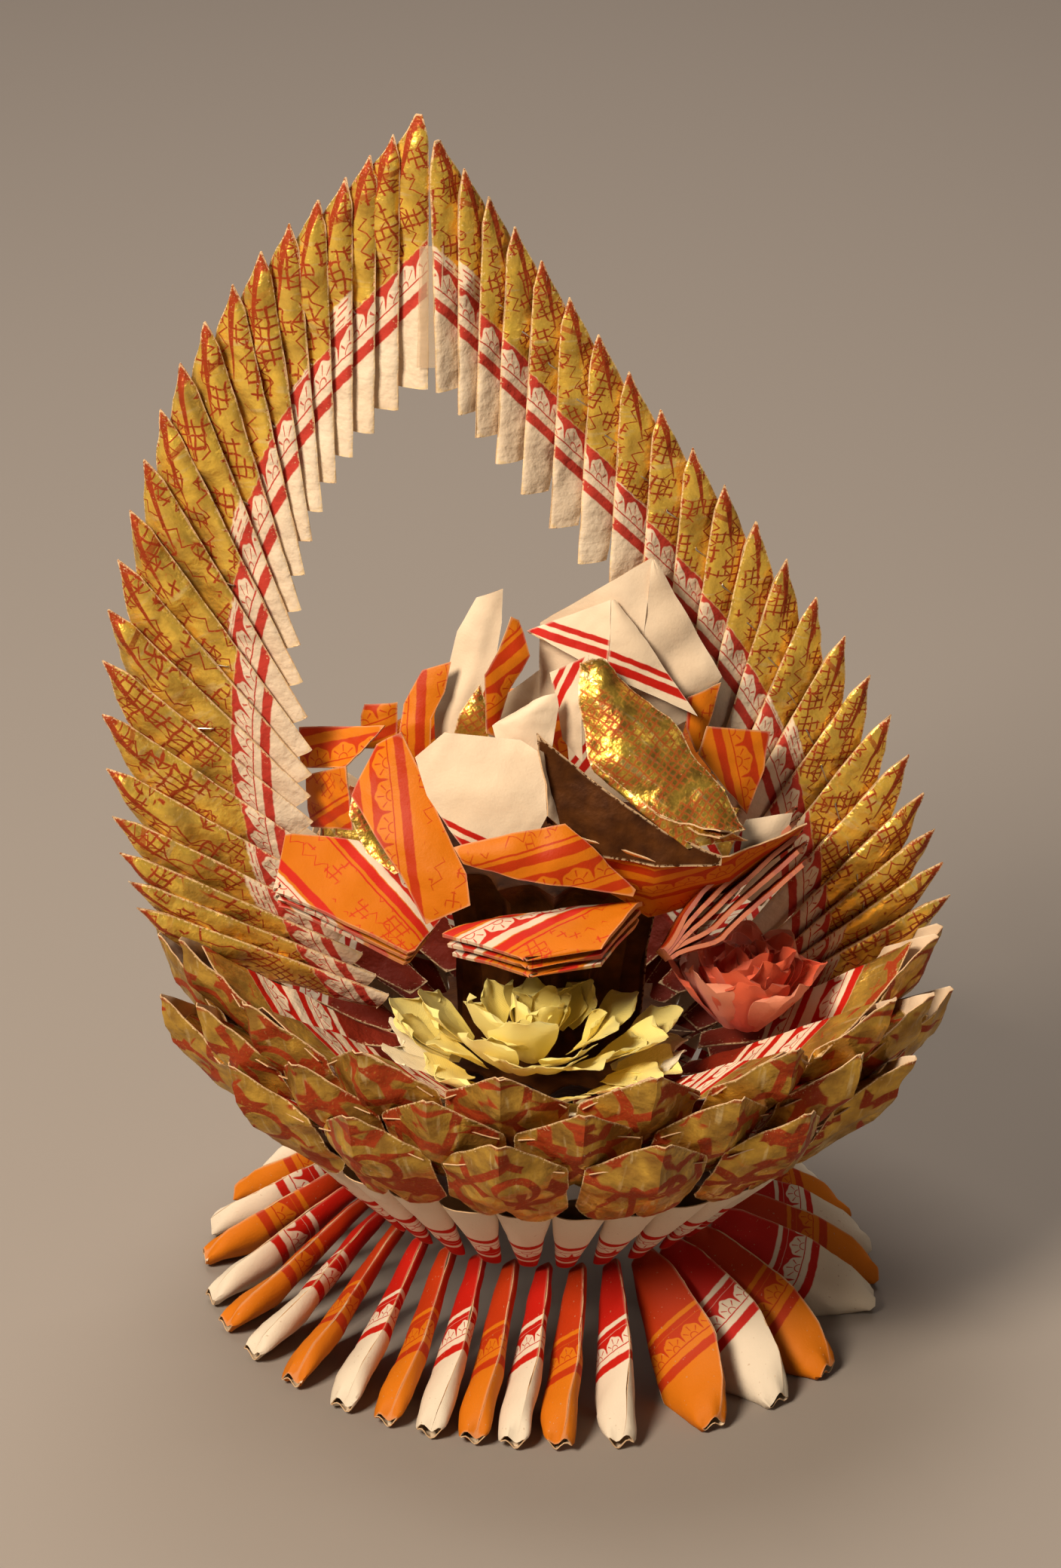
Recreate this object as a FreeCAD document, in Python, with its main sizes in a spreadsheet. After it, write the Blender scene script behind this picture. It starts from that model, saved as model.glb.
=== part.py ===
import FreeCAD, Part
import math
import os
import Sketcher
from FreeCAD import Placement, Rotation, Vector

# Folded joss-paper flower basket.  Millimetres, +Z up; the front of the basket faces -Y.  Every piece is
# a folded sheet: it is modelled as the flat closed form that the folding makes, with its open mouth cut
# in.  Everything is built about the upright axis of the bowl.  At the end the whole basket is moved so
# that the origin is on the table, under the middle of its overall width and depth.

doc = FreeCAD.newDocument("flower_basket")
sheet = doc.addObject("Spreadsheet::Sheet", "Sizes")

SIZES = [
    # foot: flattened cones that splay from the waist to the table
    ("foot_radius", 138, "toe ends on the table"),
    ("foot_tuck", 8, "roots stand inside the points of the base cones by this"),
    ("foot_run", "=foot_radius - waist_radius + foot_tuck", "toe to root, along the floor"),
    ("foot_width", 10, "flattened cone, across"),
    ("foot_root_width", 7.4, "root, across"),
    ("foot_toe_width", 6, "pinched toe, across"),
    ("foot_heel", 26, "toe to heel, on the table"),
    ("foot_toe_height", 9, "height of the folded-up toe"),
    ("foot_root_depth", 8, "depth of the root"),
    # waist and base cones
    ("waist_radius", 76, "points of the base cones"),
    ("waist_height", 46.5, "height of those points"),
    ("cone_run", 43, "point to rim, outwards"),
    ("cone_rise", 45.5, "point to rim, upwards"),
    ("mouth_radius", "=waist_radius + cone_run", "outer rim of the base cones"),
    ("mouth_height", "=waist_height + cone_rise", "height of that rim"),
    ("cone_width", 22.2, "base cone at its mouth, around the bowl"),
    ("cone_point_width", 8, "base cone at its point"),
    ("cone_depth", 9, "base cone at its mouth, through the bowl wall"),
    ("cone_hollow", 20, "depth of its open mouth"),
    ("paper", 1.2, "wall of an open mouth"),
    # gold units of the bowl
    ("unit_overhang", 41, "tips of the lowest tier beyond the rim"),
    ("unit_stand", 54, "those tips above the rim"),
    ("tier_radius", "=mouth_radius + unit_overhang", "tips of the lowest gold tier"),
    ("tier_height", "=mouth_height + unit_stand", "height of those tips"),
    ("tier_inset", 4, "each tier stands in by this"),
    ("tier_rise", 11.6, "each tier stands up by this"),
    ("unit_width", 48, "shoulder to shoulder"),
    ("unit_gable", 19, "tip above the shoulders"),
    ("unit_lean", 10, "tip in front of the shoulders"),
    ("unit_sweep", 8, "side edges behind the middle"),
    ("unit_flap", 1.6, "front flap"),
    ("unit_body_width", 42, "body at its front"),
    ("unit_reach", 92, "tip to root, along the floor"),
    ("unit_root_width", 14, "root, across"),
    # handle blades
    ("blade_length", 107, "root to tip"),
    ("blade_width", 22, "flattened cone at its widest"),
    ("blade_root_width", 12, "root, across"),
    ("blade_thick", 4.2, "flattened cone at its mouth"),
    ("blade_root_thick", 2.6, "flattened root"),
    ("blade_mouth", 42, "length of the open mouth"),
    ("blade_gap", 2.6, "opening of the mouth"),
    ("handle_height", 493, "tip of the apex above the table"),
    ("handle_turn", 8, "turn of the handle about the upright, degrees"),
    # rose
    ("rose_size", 106, "rose above its dish"),
    ("rose_lift", 54, "dish that the petals stand on, above the tips of the lowest tier"),
    ("rose_floor", "=tier_height + rose_lift", "height of that dish"),
    ("petal_paper", 1.2, "folded petal"),
    ("leaf_thick", 12, "stack of pleats"),
    ("leaf_paper", 1.6, "one pleat"),
    # small parts
    ("staple_crown", 9.5, "length of a staple"),
    ("staple_wire", 0.6, "staple wire"),
    ("tape_width", 9, "adhesive tape, across"),
    ("tape_length", 48, "adhesive tape, along"),
    ("tape_thick", 0.3, "adhesive tape"),
    ("yellow_diameter", 120, "yellow fabric flower"),
    ("red_diameter", 52, "red fabric flower"),
    ("clearance", 0.3, "between pieces that rest on each other"),
]
for row, (alias, number, note) in enumerate(SIZES, start=1):
    sheet.set("A%d" % row, alias)
    sheet.set("C%d" % row, note)
    sheet.setAlias("B%d" % row, alias)
for row, (alias, number, note) in enumerate(SIZES, start=1):
    sheet.set("B%d" % row, str(number))
doc.recompute()

UNITS_PER_TIER = 16
CONES_PER_RING = 32
BLADES_PER_SIDE = 22


# ---------------------------------------------------------------- helpers

def size(alias):
    """The value of one cell of the sheet."""
    return float(sheet.get(alias))


def number_of(term):
    """A coordinate is a plain number or an expression on the sheet."""
    if isinstance(term, str):
        return float(sheet.evalExpression(term))
    return float(term)


def new_body(name):
    return doc.addObject("PartDesign::Body", name)


def draw(body, role, name, outlines, offset=0):
    """Closed outlines of straight folds on one of the body's own planes, tied to the sheet."""
    sketch = body.newObject("Sketcher::SketchObject", name)
    plane = next(item for item in body.Origin.OriginFeatures if item.Role == role)
    sketch.AttachmentSupport = [(plane, "")]
    sketch.MapMode = "FlatFace"
    sketch.AttachmentOffset = Placement(Vector(0, 0, number_of(offset)), Rotation())
    if isinstance(offset, str):
        sketch.setExpression("AttachmentOffset.Base.z", offset)
    first = 0
    for outline in outlines:
        corners = [Vector(number_of(x), number_of(y), 0) for x, y in outline]
        count = len(corners)
        for i in range(count):
            sketch.addGeometry(Part.LineSegment(corners[i], corners[(i + 1) % count]), False)
        for i in range(count):
            following = first + (i + 1) % count
            sketch.addConstraint(Sketcher.Constraint("Coincident", first + i, 2, following, 1))
        for i, (x, y) in enumerate(outline):
            for kind, term, start in (("DistanceX", x, corners[i].x), ("DistanceY", y, corners[i].y)):
                index = sketch.addConstraint(Sketcher.Constraint(kind, -1, 1, first + i, 1, start))
                if isinstance(term, str):
                    sketch.setExpression("Constraints[%d]" % index, term)
        first += count
    return sketch


def pad(body, sketch, length, midplane=True):
    feature = body.newObject("PartDesign::Pad", sketch.Name + "_pad")
    feature.Profile = sketch
    feature.Midplane = midplane
    feature.setExpression("Length", str(length))
    return feature


def slanted_pad(body, sketch, run, drop):
    """Pads a plan outline downwards by the drop while it moves inwards by the run."""
    feature = body.newObject("PartDesign::Pad", sketch.Name + "_pad")
    feature.Profile = sketch
    feature.UseCustomVector = True
    feature.AlongSketchNormal = True
    feature.Direction = Vector(-number_of(run), 0, -number_of(drop))
    feature.setExpression("Direction.x", "-1 * (%s)" % run)
    feature.setExpression("Direction.z", "-1 * (%s)" % drop)
    feature.setExpression("Length", str(drop))
    return feature


def cut_through(body, sketch):
    feature = body.newObject("PartDesign::Pocket", sketch.Name + "_cut")
    feature.Profile = sketch
    feature.Midplane = True
    feature.Type = "ThroughAll"
    return feature


def cut_slot(body, sketch, width):
    """Cuts an outline to a total width, half to each side of its plane."""
    feature = body.newObject("PartDesign::Pocket", sketch.Name + "_cut")
    feature.Profile = sketch
    feature.Midplane = True
    feature.setExpression("Length", str(width))
    return feature


def both_sides(outline):
    """An outline and its mirror image across the first axis of the sketch."""
    mirrored = []
    for x, y in outline:
        mirrored.append((x, "-1 * (%s)" % y if isinstance(y, str) else -y))
    return [outline, mirrored]


def both_sides_upright(outline):
    """An outline and its mirror image across the second axis of the sketch."""
    mirrored = []
    for x, y in outline:
        mirrored.append(("-1 * (%s)" % x if isinstance(x, str) else -x, y))
    return [outline, mirrored]


def ring_point(radius, degrees, height):
    """A point of a ring about +Z; the direction is 0 at the front and grows towards +X."""
    angle = math.radians(degrees)
    return Vector(radius * math.sin(angle), -radius * math.cos(angle), height)


def gather(label, shapes):
    """One node that holds several separate solids."""
    group = doc.addObject("Part::Compound", label)
    group.Links = shapes
    return group


def copies(label, master, placements):
    """Linked copies of one master, one at each placement."""
    links = []
    for i, placement in enumerate(placements, start=1):
        link = doc.addObject("App::Link", "%s_%02d" % (label, i))
        link.LinkedObject = master
        link.Placement = placement
        links.append(link)
    return links


nodes = []


def keep(node, label):
    node.Label = label
    nodes.append(node)
    return node


# ---------------------------------------------------------------- foot
# A foot cone lies in the XZ plane: the end of its toe is at the origin and its root points to -X.

def foot_cone():
    body = new_body("foot_cone_form")
    top = "Sizes.waist_height - Sizes.clearance"
    side = draw(body, "XZ_Plane", "foot_side", [[
        ("-1 * Sizes.foot_heel", 0),
        (-2.5, 0),
        (0, 2.5),
        (-1.5, "Sizes.foot_toe_height"),
        ("-1 * Sizes.foot_run + 10", top),
        ("-1 * Sizes.foot_run", top),
        ("-1 * Sizes.foot_run", top + " - Sizes.foot_root_depth"),
    ]])
    pad(body, side, "Sizes.foot_width")
    outer = "Sizes.foot_width / 2 + 1"
    plan = draw(body, "XY_Plane", "foot_plan", both_sides([
        ("-1 * Sizes.foot_run - 1", outer),
        ("-1 * Sizes.foot_run - 1", "Sizes.foot_root_width / 2"),
        (-18, "Sizes.foot_width / 2"),
        (1, "Sizes.foot_toe_width / 2"),
        (1, outer),
    ]))
    cut_through(body, plan)
    return body


# Directions of the toes, in order around the ring.  They are spread by hand and uneven.
TOES = [-111, -98.5, -88.5, -75, -65, -55, -45, -34, -25, -17.4, -10.5, -4, 3, 13, 31, 44.5, 57,
        81, 91.5, 101.5, 112, 123, 134, 145, 156.5, 168, 179.5, 191, 202.5, 214, 225.5, 237]
FIRST_ROOT = -122.3
LARGEST_LEAN = 13


def foot_placement(index):
    toe = TOES[index]
    root = FIRST_ROOT + index * 360.0 / CONES_PER_RING
    root = toe + max(-LARGEST_LEAN, min(LARGEST_LEAN, root - toe))
    end = ring_point(size("foot_radius"), toe, 0)
    inner = ring_point(size("foot_radius") - size("foot_run"), root, 0)
    outward = end - inner
    return Placement(end, Rotation(Vector(0, 0, 1), math.degrees(math.atan2(outward.y, outward.x))))


foot = foot_cone()
for label, first in (("foot_cones_orange", 0), ("foot_cones_white", 1)):
    places = [foot_placement(i) for i in range(first, CONES_PER_RING, 2)]
    keep(gather(label, copies(label, foot, places)), label)


# ---------------------------------------------------------------- base cones of the bowl
# The cone lies along +X from its mouth to its point; -Z looks into the bowl.

def base_cone():
    body = new_body("base_cone_form")
    length = "sqrt((Sizes.mouth_radius - Sizes.waist_radius)^2 + (Sizes.mouth_height - Sizes.waist_height)^2)"
    side = draw(body, "XZ_Plane", "base_side", [[
        (0, 0),
        (length, 0),
        (length + " - 1", "-0.5 * Sizes.cone_depth"),
        ("1.25 * Sizes.cone_depth", "-1 * Sizes.cone_depth"),
    ]])
    pad(body, side, "Sizes.cone_width")
    plan = draw(body, "XY_Plane", "base_plan", both_sides([
        (0, "Sizes.cone_width / 2"),
        (length, "Sizes.cone_point_width / 2"),
        (length + " + 1", "Sizes.cone_point_width / 2"),
        (length + " + 1", "Sizes.cone_width / 2 + 1"),
        (0, "Sizes.cone_width / 2 + 1"),
    ]))
    trimmed = cut_through(body, plan)
    doc.recompute()
    long_edges = []
    for i, edge in enumerate(trimmed.Shape.Edges, start=1):
        ends = [vertex.Point for vertex in edge.Vertexes]
        if edge.Length > 30 and all(abs(point.z) < 0.01 for point in ends):
            long_edges.append("Edge%d" % i)
    rounding = body.newObject("PartDesign::Chamfer", "base_rounding")
    rounding.Base = (trimmed, long_edges)
    rounding.setExpression("Size", "0.25 * Sizes.cone_point_width")
    half = "Sizes.cone_width / 2 - Sizes.paper"
    mouth = draw(body, "YZ_Plane", "base_mouth", [[
        ("-1 * (%s - 3.4)" % half, "-1 * Sizes.paper"),
        ("%s - 3.4" % half, "-1 * Sizes.paper"),
        (half, "-1 * Sizes.paper - 3.4"),
        ("%s - 1.4" % half, "-1 * Sizes.cone_depth + 0.6"),
        ("-1 * (%s - 1.4)" % half, "-1 * Sizes.cone_depth + 0.6"),
        ("-1 * (%s)" % half, "-1 * Sizes.paper - 3.4"),
    ]])
    hollow = body.newObject("PartDesign::Pocket", "base_mouth_cut")
    hollow.Profile = mouth
    hollow.Reversed = True
    hollow.TaperAngle = -6.6
    hollow.setExpression("Length", "Sizes.cone_hollow")
    return body


def base_cone_placement(degrees):
    rim = ring_point(size("mouth_radius"), degrees, size("mouth_height"))
    point = ring_point(size("waist_radius"), degrees, size("waist_height"))
    along = point - rim
    around = ring_point(1, degrees + 90, 0)
    outward = along.cross(around)
    return Placement(rim, Rotation(along, around, outward, "XZY"))


FIRST_BASE_CONE = 7.35
cone = base_cone()
places = [base_cone_placement(FIRST_BASE_CONE + i * 360.0 / CONES_PER_RING) for i in range(CONES_PER_RING)]
keep(gather("bowl_base_cones", copies("bowl_base_cones", cone, places)), "bowl_base_cones")


# ---------------------------------------------------------------- gold units of the bowl
# The unit points along +X with its tip at the origin: a thin folded gable in front of a tapering body.

def gold_unit():
    body = new_body("gold_unit_form")
    body_half = "Sizes.unit_body_width / 2"
    root = "-1 * Sizes.unit_reach"
    wedge = draw(body, "XZ_Plane", "unit_wedge", [[
        ("-1 * Sizes.unit_lean - 18", "-1 * Sizes.unit_gable - 19.2"),
        ("-1 * Sizes.unit_lean - 32", "-1 * Sizes.unit_gable - 34"),
        (root, "-1 * Sizes.unit_gable - 41"),
        (root, "-1 * Sizes.unit_gable - 37"),
        ("-1 * Sizes.unit_lean - 33", "-1 * Sizes.unit_gable - 23"),
        ("-1 * Sizes.unit_lean - 19.5", "-1 * Sizes.unit_gable - 19.2"),
    ]])
    pad(body, wedge, "Sizes.unit_body_width")
    outer = "Sizes.unit_body_width / 2 + 2"
    plan = draw(body, "XY_Plane", "unit_plan", both_sides([
        ("-1 * Sizes.unit_lean - 17", outer),
        ("-1 * Sizes.unit_lean - 17", 7),
        ("-1 * Sizes.unit_lean - 17.9 - Sizes.unit_sweep", body_half),
        ("-1 * Sizes.unit_lean - 32", body_half),
        (root, "Sizes.unit_root_width / 2"),
        (root + " - 1", "Sizes.unit_root_width / 2"),
        (root + " - 1", outer),
    ]))
    cut_through(body, plan)
    half = "Sizes.unit_width / 2 + 1"
    for name, front, drop, run, depth in (
            ("unit_gable_band", "0", "0", "Sizes.unit_lean", "Sizes.unit_gable"),
            ("unit_lower_band", "-1 * Sizes.unit_lean", "-1 * Sizes.unit_gable", "20.7", "22")):
        band = draw(body, "XY_Plane", name, [[
            (front, -8),
            (front, 8),
            (front + " - Sizes.unit_sweep", half),
            (front + " - Sizes.unit_sweep - Sizes.unit_flap", half),
            (front + " - Sizes.unit_flap", 8),
            (front + " - Sizes.unit_flap", -8),
            (front + " - Sizes.unit_sweep - Sizes.unit_flap", "-1 * (%s)" % half),
            (front + " - Sizes.unit_sweep", "-1 * (%s)" % half),
        ]], drop)
        slanted_pad(body, band, run, depth)
    gable = draw(body, "YZ_Plane", "unit_gable", both_sides_upright([
        (2.5, 1),
        (2.5, 0),
        ("Sizes.unit_width / 2", "-1 * Sizes.unit_gable"),
        (body_half, "-1 * Sizes.unit_gable - 23"),
        ("Sizes.unit_width / 2 + 3", "-1 * Sizes.unit_gable - 23"),
        ("Sizes.unit_width / 2 + 3", 1),
    ]))
    cut_through(body, gable)
    return body


unit = gold_unit()
# Direction of the first unit of each tier, and the units left out where the handle stands.
TIERS = [(-6.7, ()), (5.0, ()), (-7.2, (5, 12))]
# The units on the left of the front crowd forwards a little, away from the handle.
CROWDING = 2.2
CROWDED_SIDE = -60
for tier, (first, left_out) in enumerate(TIERS):
    label = "bowl_tier_%d" % (tier + 1)
    radius = size("tier_radius") - tier * size("tier_inset")
    height = size("tier_height") + tier * size("tier_rise")
    places = []
    for i in range(UNITS_PER_TIER):
        if i in left_out:
            continue
        degrees = first + i * 360.0 / UNITS_PER_TIER
        degrees += CROWDING * max(0.0, math.cos(math.radians(degrees - CROWDED_SIDE))) ** 4
        places.append(Placement(ring_point(radius, degrees, height), Rotation(Vector(0, 0, 1), degrees - 90)))
    keep(gather(label, copies(label, unit, places)), label)


# ---------------------------------------------------------------- handle
# Each side is a rail of tips and a rail of roots in the plane of the handle: distance to the right of
# the middle and height, at every third blade from the apex (1) down to the bowl (22).
RAIL_STATIONS = [1, 4, 7, 10, 13, 16, 19, 22]
RAILS = {
    "left": (
        [(-59, 493), (-85, 469), (-116, 441), (-146, 398), (-165, 340), (-176, 279), (-173, 213), (-164, 174)],
        [(-57, 386), (-83, 359), (-98, 325), (-102, 282), (-97, 238), (-96, 207), (-81, 161), (-65, 131)]),
    "right": (
        [(-55, 483), (-26, 449), (7, 406), (45, 360), (84, 314), (120, 265), (145, 214), (159, 170)],
        [(-50, 385), (-28, 355), (5, 313), (40.5, 266), (61, 223), (71, 184), (81, 143), (80, 122)]),
}
# A blade may step a little to the front (or back) of the one above it; the steps add up down the side.
FORWARD_STEPS = {
    "left": {1: -1.0, 3: 0.4, 4: 0.3, 10: 0.2, 11: 0.2, 17: -0.5, 18: -0.5, 19: 0.9, 20: 2.2, 21: 1.0, 22: -1.0},
    "right": {3: -0.4, 4: -0.9, 5: -0.5, 9: 0.3, 10: 0.5, 11: 0.2, 19: 0.9, 20: 1.3, 21: 0.9, 22: 0.2},
}
RAIL_BOWL_RADIUS = 160.0
RAIL_BOWL_HEIGHT = 146.0
RAIL_FOOT = 165.0
RAIL_APEX = 493.0
TWIST_FACTOR = 1.06
SPINE_RELIEF = 0.1


def along_rail(values, blade):
    """Smooth value at one blade between the stations of a rail."""
    place = (blade - 1) / 3.0
    i = min(int(place), len(values) - 2)
    t = place - i
    p1 = values[i]
    p2 = values[i + 1]
    p0 = values[i - 1] if i > 0 else 2 * p1 - p2
    p3 = values[i + 2] if i + 2 < len(values) else 2 * p2 - p1
    return 0.5 * (2 * p1 + (p2 - p0) * t + (2 * p0 - 5 * p1 + 4 * p2 - p3) * t * t
                  + (3 * p1 - p0 - 3 * p2 + p3) * t * t * t)


def handle_point(across, height):
    """A point in the plane of the handle, which is turned a little about the upright.
    The rails are drawn for one bowl and one height: they spread and rise with the bowl, and stretch."""
    turn = math.radians(size("handle_turn"))
    across *= size("tier_radius") / RAIL_BOWL_RADIUS
    lift = size("tier_height") - RAIL_BOWL_HEIGHT
    if height > RAIL_FOOT:
        stretch = (size("handle_height") - lift - RAIL_FOOT) / (RAIL_APEX - RAIL_FOOT)
        height = RAIL_FOOT + (height - RAIL_FOOT) * stretch
    return Vector(across * math.cos(turn), across * math.sin(turn), height + lift)


def rail_ends(side, number):
    """Root and tip of one blade."""
    tips, roots = RAILS[side]
    ends = []
    for rail in (roots, tips):
        ends.append(handle_point(*[along_rail([station[i] for station in rail], number) for i in (0, 1)]))
    return ends


def spacing(side, number):
    """Distance from one blade to the next, across the blades at the start of their mouths."""
    root, tip = rail_ends(side, number)
    next_root, next_tip = rail_ends(side, number + 1)
    along = (tip - root).normalize()
    step = (next_root + (next_tip - next_root) * 0.5) - (root + (tip - root) * 0.5)
    return (step - along * step.dot(along)).Length


def blade_twist(side, number):
    """The closer two blades stand, the more they turn edge-on, so that they rest on each other.
    Blades that stand wide apart meet only at the thin spine, so they turn a little less."""
    turns = []
    for upper in (number - 1, number):
        step = spacing(side, min(max(upper, 1), BLADES_PER_SIDE - 1))
        seat = TWIST_FACTOR * size("blade_thick") - SPINE_RELIEF * (step - 8)
        turns.append(math.asin(min(0.9, seat / step)))
    return min(turns) + 0.65 * (max(turns) - min(turns))


def handle_blade(side, number):
    """A flattened cone along +X from root to tip; its spine is on the X axis, its mouth at the tip."""
    root, tip = rail_ends(side, number)
    along = (tip - root).normalize()
    ratio = round(tip.distanceToPoint(root) / 107.0, 3)
    name = "handle_%s_%02d" % (side, number)
    length = "%s * Sizes.blade_length" % ratio

    body = new_body(name)
    outline = draw(body, "XY_Plane", name + "_outline", [[
        (0, 0),
        (0, "Sizes.blade_root_width"),
        (30, "0.73 * Sizes.blade_width"),
        (length + " - 0.95 * Sizes.blade_mouth", "Sizes.blade_width"),
        (length + " - 24", "0.73 * Sizes.blade_width"),
        (length + " - 14", "0.48 * Sizes.blade_width"),
        (length + " - 6", "0.25 * Sizes.blade_width"),
        (length, 3),
        (length + " - 10", 0),
    ]])
    pad(body, outline, "Sizes.blade_thick")
    taper = draw(body, "XZ_Plane", name + "_taper", both_sides([
        (-1, "Sizes.blade_thick"),
        (-1, "Sizes.blade_root_thick / 2"),
        (length + " - Sizes.blade_mouth", "Sizes.blade_thick / 2"),
        (length + " - Sizes.blade_mouth", "Sizes.blade_thick"),
    ]))
    cut_through(body, taper)
    spine = draw(body, "YZ_Plane", name + "_spine", both_sides([
        (-1, "Sizes.blade_thick"),
        (-1, 0.5),
        (0, 0.7),
        (9, "Sizes.blade_thick / 2"),
        (9, "Sizes.blade_thick"),
    ]))
    cut_through(body, spine)
    mouth = draw(body, "XY_Plane", name + "_mouth", [[
        (length + " - Sizes.blade_mouth", 8),
        (length + " - 12", 2.2),
        (length + " + 2", 4.2),
        (length + " + 2", "Sizes.blade_width + 2"),
        (length + " - Sizes.blade_mouth", "Sizes.blade_width + 2"),
    ]])
    cut_slot(body, mouth, "Sizes.blade_gap")

    turn = math.radians(size("handle_turn"))
    front = Vector(math.sin(turn), -math.cos(turn), 0)
    if side == "left":
        across = front.cross(along)
    else:
        across = along.cross(front)
    twist = blade_twist(side, number)
    wide = across * math.cos(twist) - front * math.sin(twist)
    forward = sum(step for lower, step in FORWARD_STEPS[side].items() if lower <= number)
    start = tip - along * number_of(length) + front * forward
    body.Placement = Placement(start, Rotation(along, wide, along.cross(wide), "XZY"))
    return body


blades = {}
for side in ("left", "right"):
    for number in range(1, BLADES_PER_SIDE + 1):
        blades[side, number] = keep(handle_blade(side, number), "handle_%s_%02d" % (side, number))


# Staples lie across the front of the blades where the gold meets the printed border.
def staple():
    body = new_body("staple_form")
    crown = draw(body, "XZ_Plane", "staple_crown_form", [[
        ("-0.5 * Sizes.staple_crown", 0),
        ("0.5 * Sizes.staple_crown", 0),
        ("0.5 * Sizes.staple_crown", "Sizes.staple_wire"),
        ("-0.5 * Sizes.staple_crown", "Sizes.staple_wire"),
    ]])
    pad(body, crown, "Sizes.staple_wire")
    return body


STAPLE_TURN = 35
staple_form = staple()
places = []
for side, first, last, sign in (("left", 3, 16, 1), ("right", 3, 20, -1)):
    for number in range(first, last + 1, 1 if side == "right" else 2):
        blade = blades[side, number]
        reach = 0.47 * size("blade_length")
        lift = size("blade_thick") / 2 + 0.3
        turned = Rotation(Vector(0, 0, 1), 90 - STAPLE_TURN)
        if sign < 0:
            turned = Rotation(Vector(1, 0, 0), 180).multiply(turned)
        place = Placement(Vector(reach, 10.6, sign * lift), turned)
        places.append(blade.Placement.multiply(place))
keep(gather("staples", copies("staples", staple_form, places)), "staples")

tape = doc.addObject("Part::Box", "apex_tape")
tape.setExpression("Length", "Sizes.tape_width")
tape.setExpression("Width", "Sizes.tape_thick")
tape.setExpression("Height", "Sizes.tape_length")
seam = handle_point(-55, 395)
turned = Rotation(Vector(0, 0, 1), size("handle_turn"))
offset = turned.multVec(Vector(-size("tape_width") / 2, -1.1 - size("tape_thick"), 0))
tape.Placement = Placement(seam + offset, turned)
keep(tape, "apex_tape")


# ---------------------------------------------------------------- rose
# The petals stand on a dish.  Their outlines are drawn for a rose 106 mm tall and scale with it.
ROSE_HEIGHT = 106.0


def rose_length(number):
    return "%s * Sizes.rose_size" % round(number / ROSE_HEIGHT, 4)


def rose_scale():
    return size("rose_size") / ROSE_HEIGHT


def turned_form(name, profile):
    """A body turned about its own upright axis."""
    body = new_body(name)
    sketch = draw(body, "XZ_Plane", name + "_profile", [profile])
    feature = body.newObject("PartDesign::Revolution", name + "_turned")
    feature.Profile = sketch
    feature.ReferenceAxis = (sketch, ["V_Axis"])
    feature.Angle = 360
    return body


core = turned_form("rose_core", [
    (0, "Sizes.mouth_height"),
    (25, "Sizes.mouth_height"),
    ("Sizes.tier_radius - 100.4", "Sizes.tier_height - 32.9"),
    ("Sizes.tier_radius - 100.4", "Sizes.tier_height - 32.5"),
    (36, "Sizes.tier_height - 32.5"),
    (40, "Sizes.tier_height + 4"),
    (48, "Sizes.rose_floor - 4"),
    (57, "Sizes.rose_floor - 1"),
    (57, "Sizes.rose_floor"),
    (0, "Sizes.rose_floor"),
])


def petal(name, base, yaw, lean, halves, fold, outline):
    """A folded petal: a band bent at its ridge, trimmed to the outline seen from the outside."""
    body = new_body(name)
    left, right = halves
    paper = "Sizes.petal_paper"
    bent = rose_length(fold)
    band = draw(body, "XY_Plane", name + "_band", [[
        (rose_length(-left), bent),
        (0, 0),
        (rose_length(right), bent),
        (rose_length(right), "%s + %s" % (bent, paper)),
        (0, paper),
        (rose_length(-left), "%s + %s" % (bent, paper)),
    ]])
    tall = max(z for x, z in outline) + 1
    low = min(z for x, z in outline)
    band.setExpression("AttachmentOffset.Base.z", rose_length(low - 1))
    feature = pad(body, band, rose_length(tall - low + 2), midplane=False)
    frame = [
        (rose_length(-left - 5), rose_length(low - 5)),
        (rose_length(right + 5), rose_length(low - 5)),
        (rose_length(right + 5), rose_length(tall + 5)),
        (rose_length(-left - 5), rose_length(tall + 5)),
    ]
    inner = [(rose_length(x), rose_length(z)) for x, z in outline]
    trim = draw(body, "XZ_Plane", name + "_trim", [frame, inner])
    cut_through(body, trim)
    rise = Vector(base[0] * rose_scale(), base[1] * rose_scale(), size("rose_floor") + base[2])
    if base[2] == 0:
        rise.z += size("clearance")
    turned = Rotation(Vector(0, 0, 1), yaw).multiply(Rotation(Vector(1, 0, 0), lean))
    body.Placement = Placement(rise, turned)
    return body


# name, foot of the ridge (height above the dish; 0 stands on it), yaw, outward lean, half widths, fold, outline
CREAM = [
    ("cream_back_roof", (25, -1, 0), 0, 0, (36, 39), 4,
     [(-20, 0), (-34, 90), (8, 118), (38, 66), (28, 58), (22, 0)]),
    ("cream_front_roof", (16, -9, 0), 0, 0, (32, 39), 5,
     [(-18, 0), (-30, 88), (2, 103), (37, 57), (24, 0)]),
    ("cream_torn", (-34, 2, 0), -10, 0, (20, 14), 4,
     [(-12, 0), (-13, 50), (-6, 88), (3, 103), (10, 101), (8, 72), (12, 40), (10, 0)]),
    ("cream_centre", (-25, -46, 0.6), -3, -5, (32, 25), 5,
     [(-16, 0), (-20, 30), (-30, 46), (-22, 56), (16, 55), (23, 26), (14, 0)]),
    ("cream_upper", (-14, -27, 0), 0, 0, (16, 14), 3,
     [(-10, 0), (-13, 52), (-7, 63), (12, 67), (5, 50), (8, 0)]),
    ("cream_strip", (2, -18, 0), 0, 0, (16, 14), 3,
     [(-9, 0), (-14, 64), (8, 78), (12, 40), (8, 0)]),
    ("cream_right", (50, -24, 0), 15, 5, (8, 44), 3,
     [(-4, 0), (-2, 6), (24, 22), (42, 24), (30, 8), (6, 0)]),
]
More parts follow.
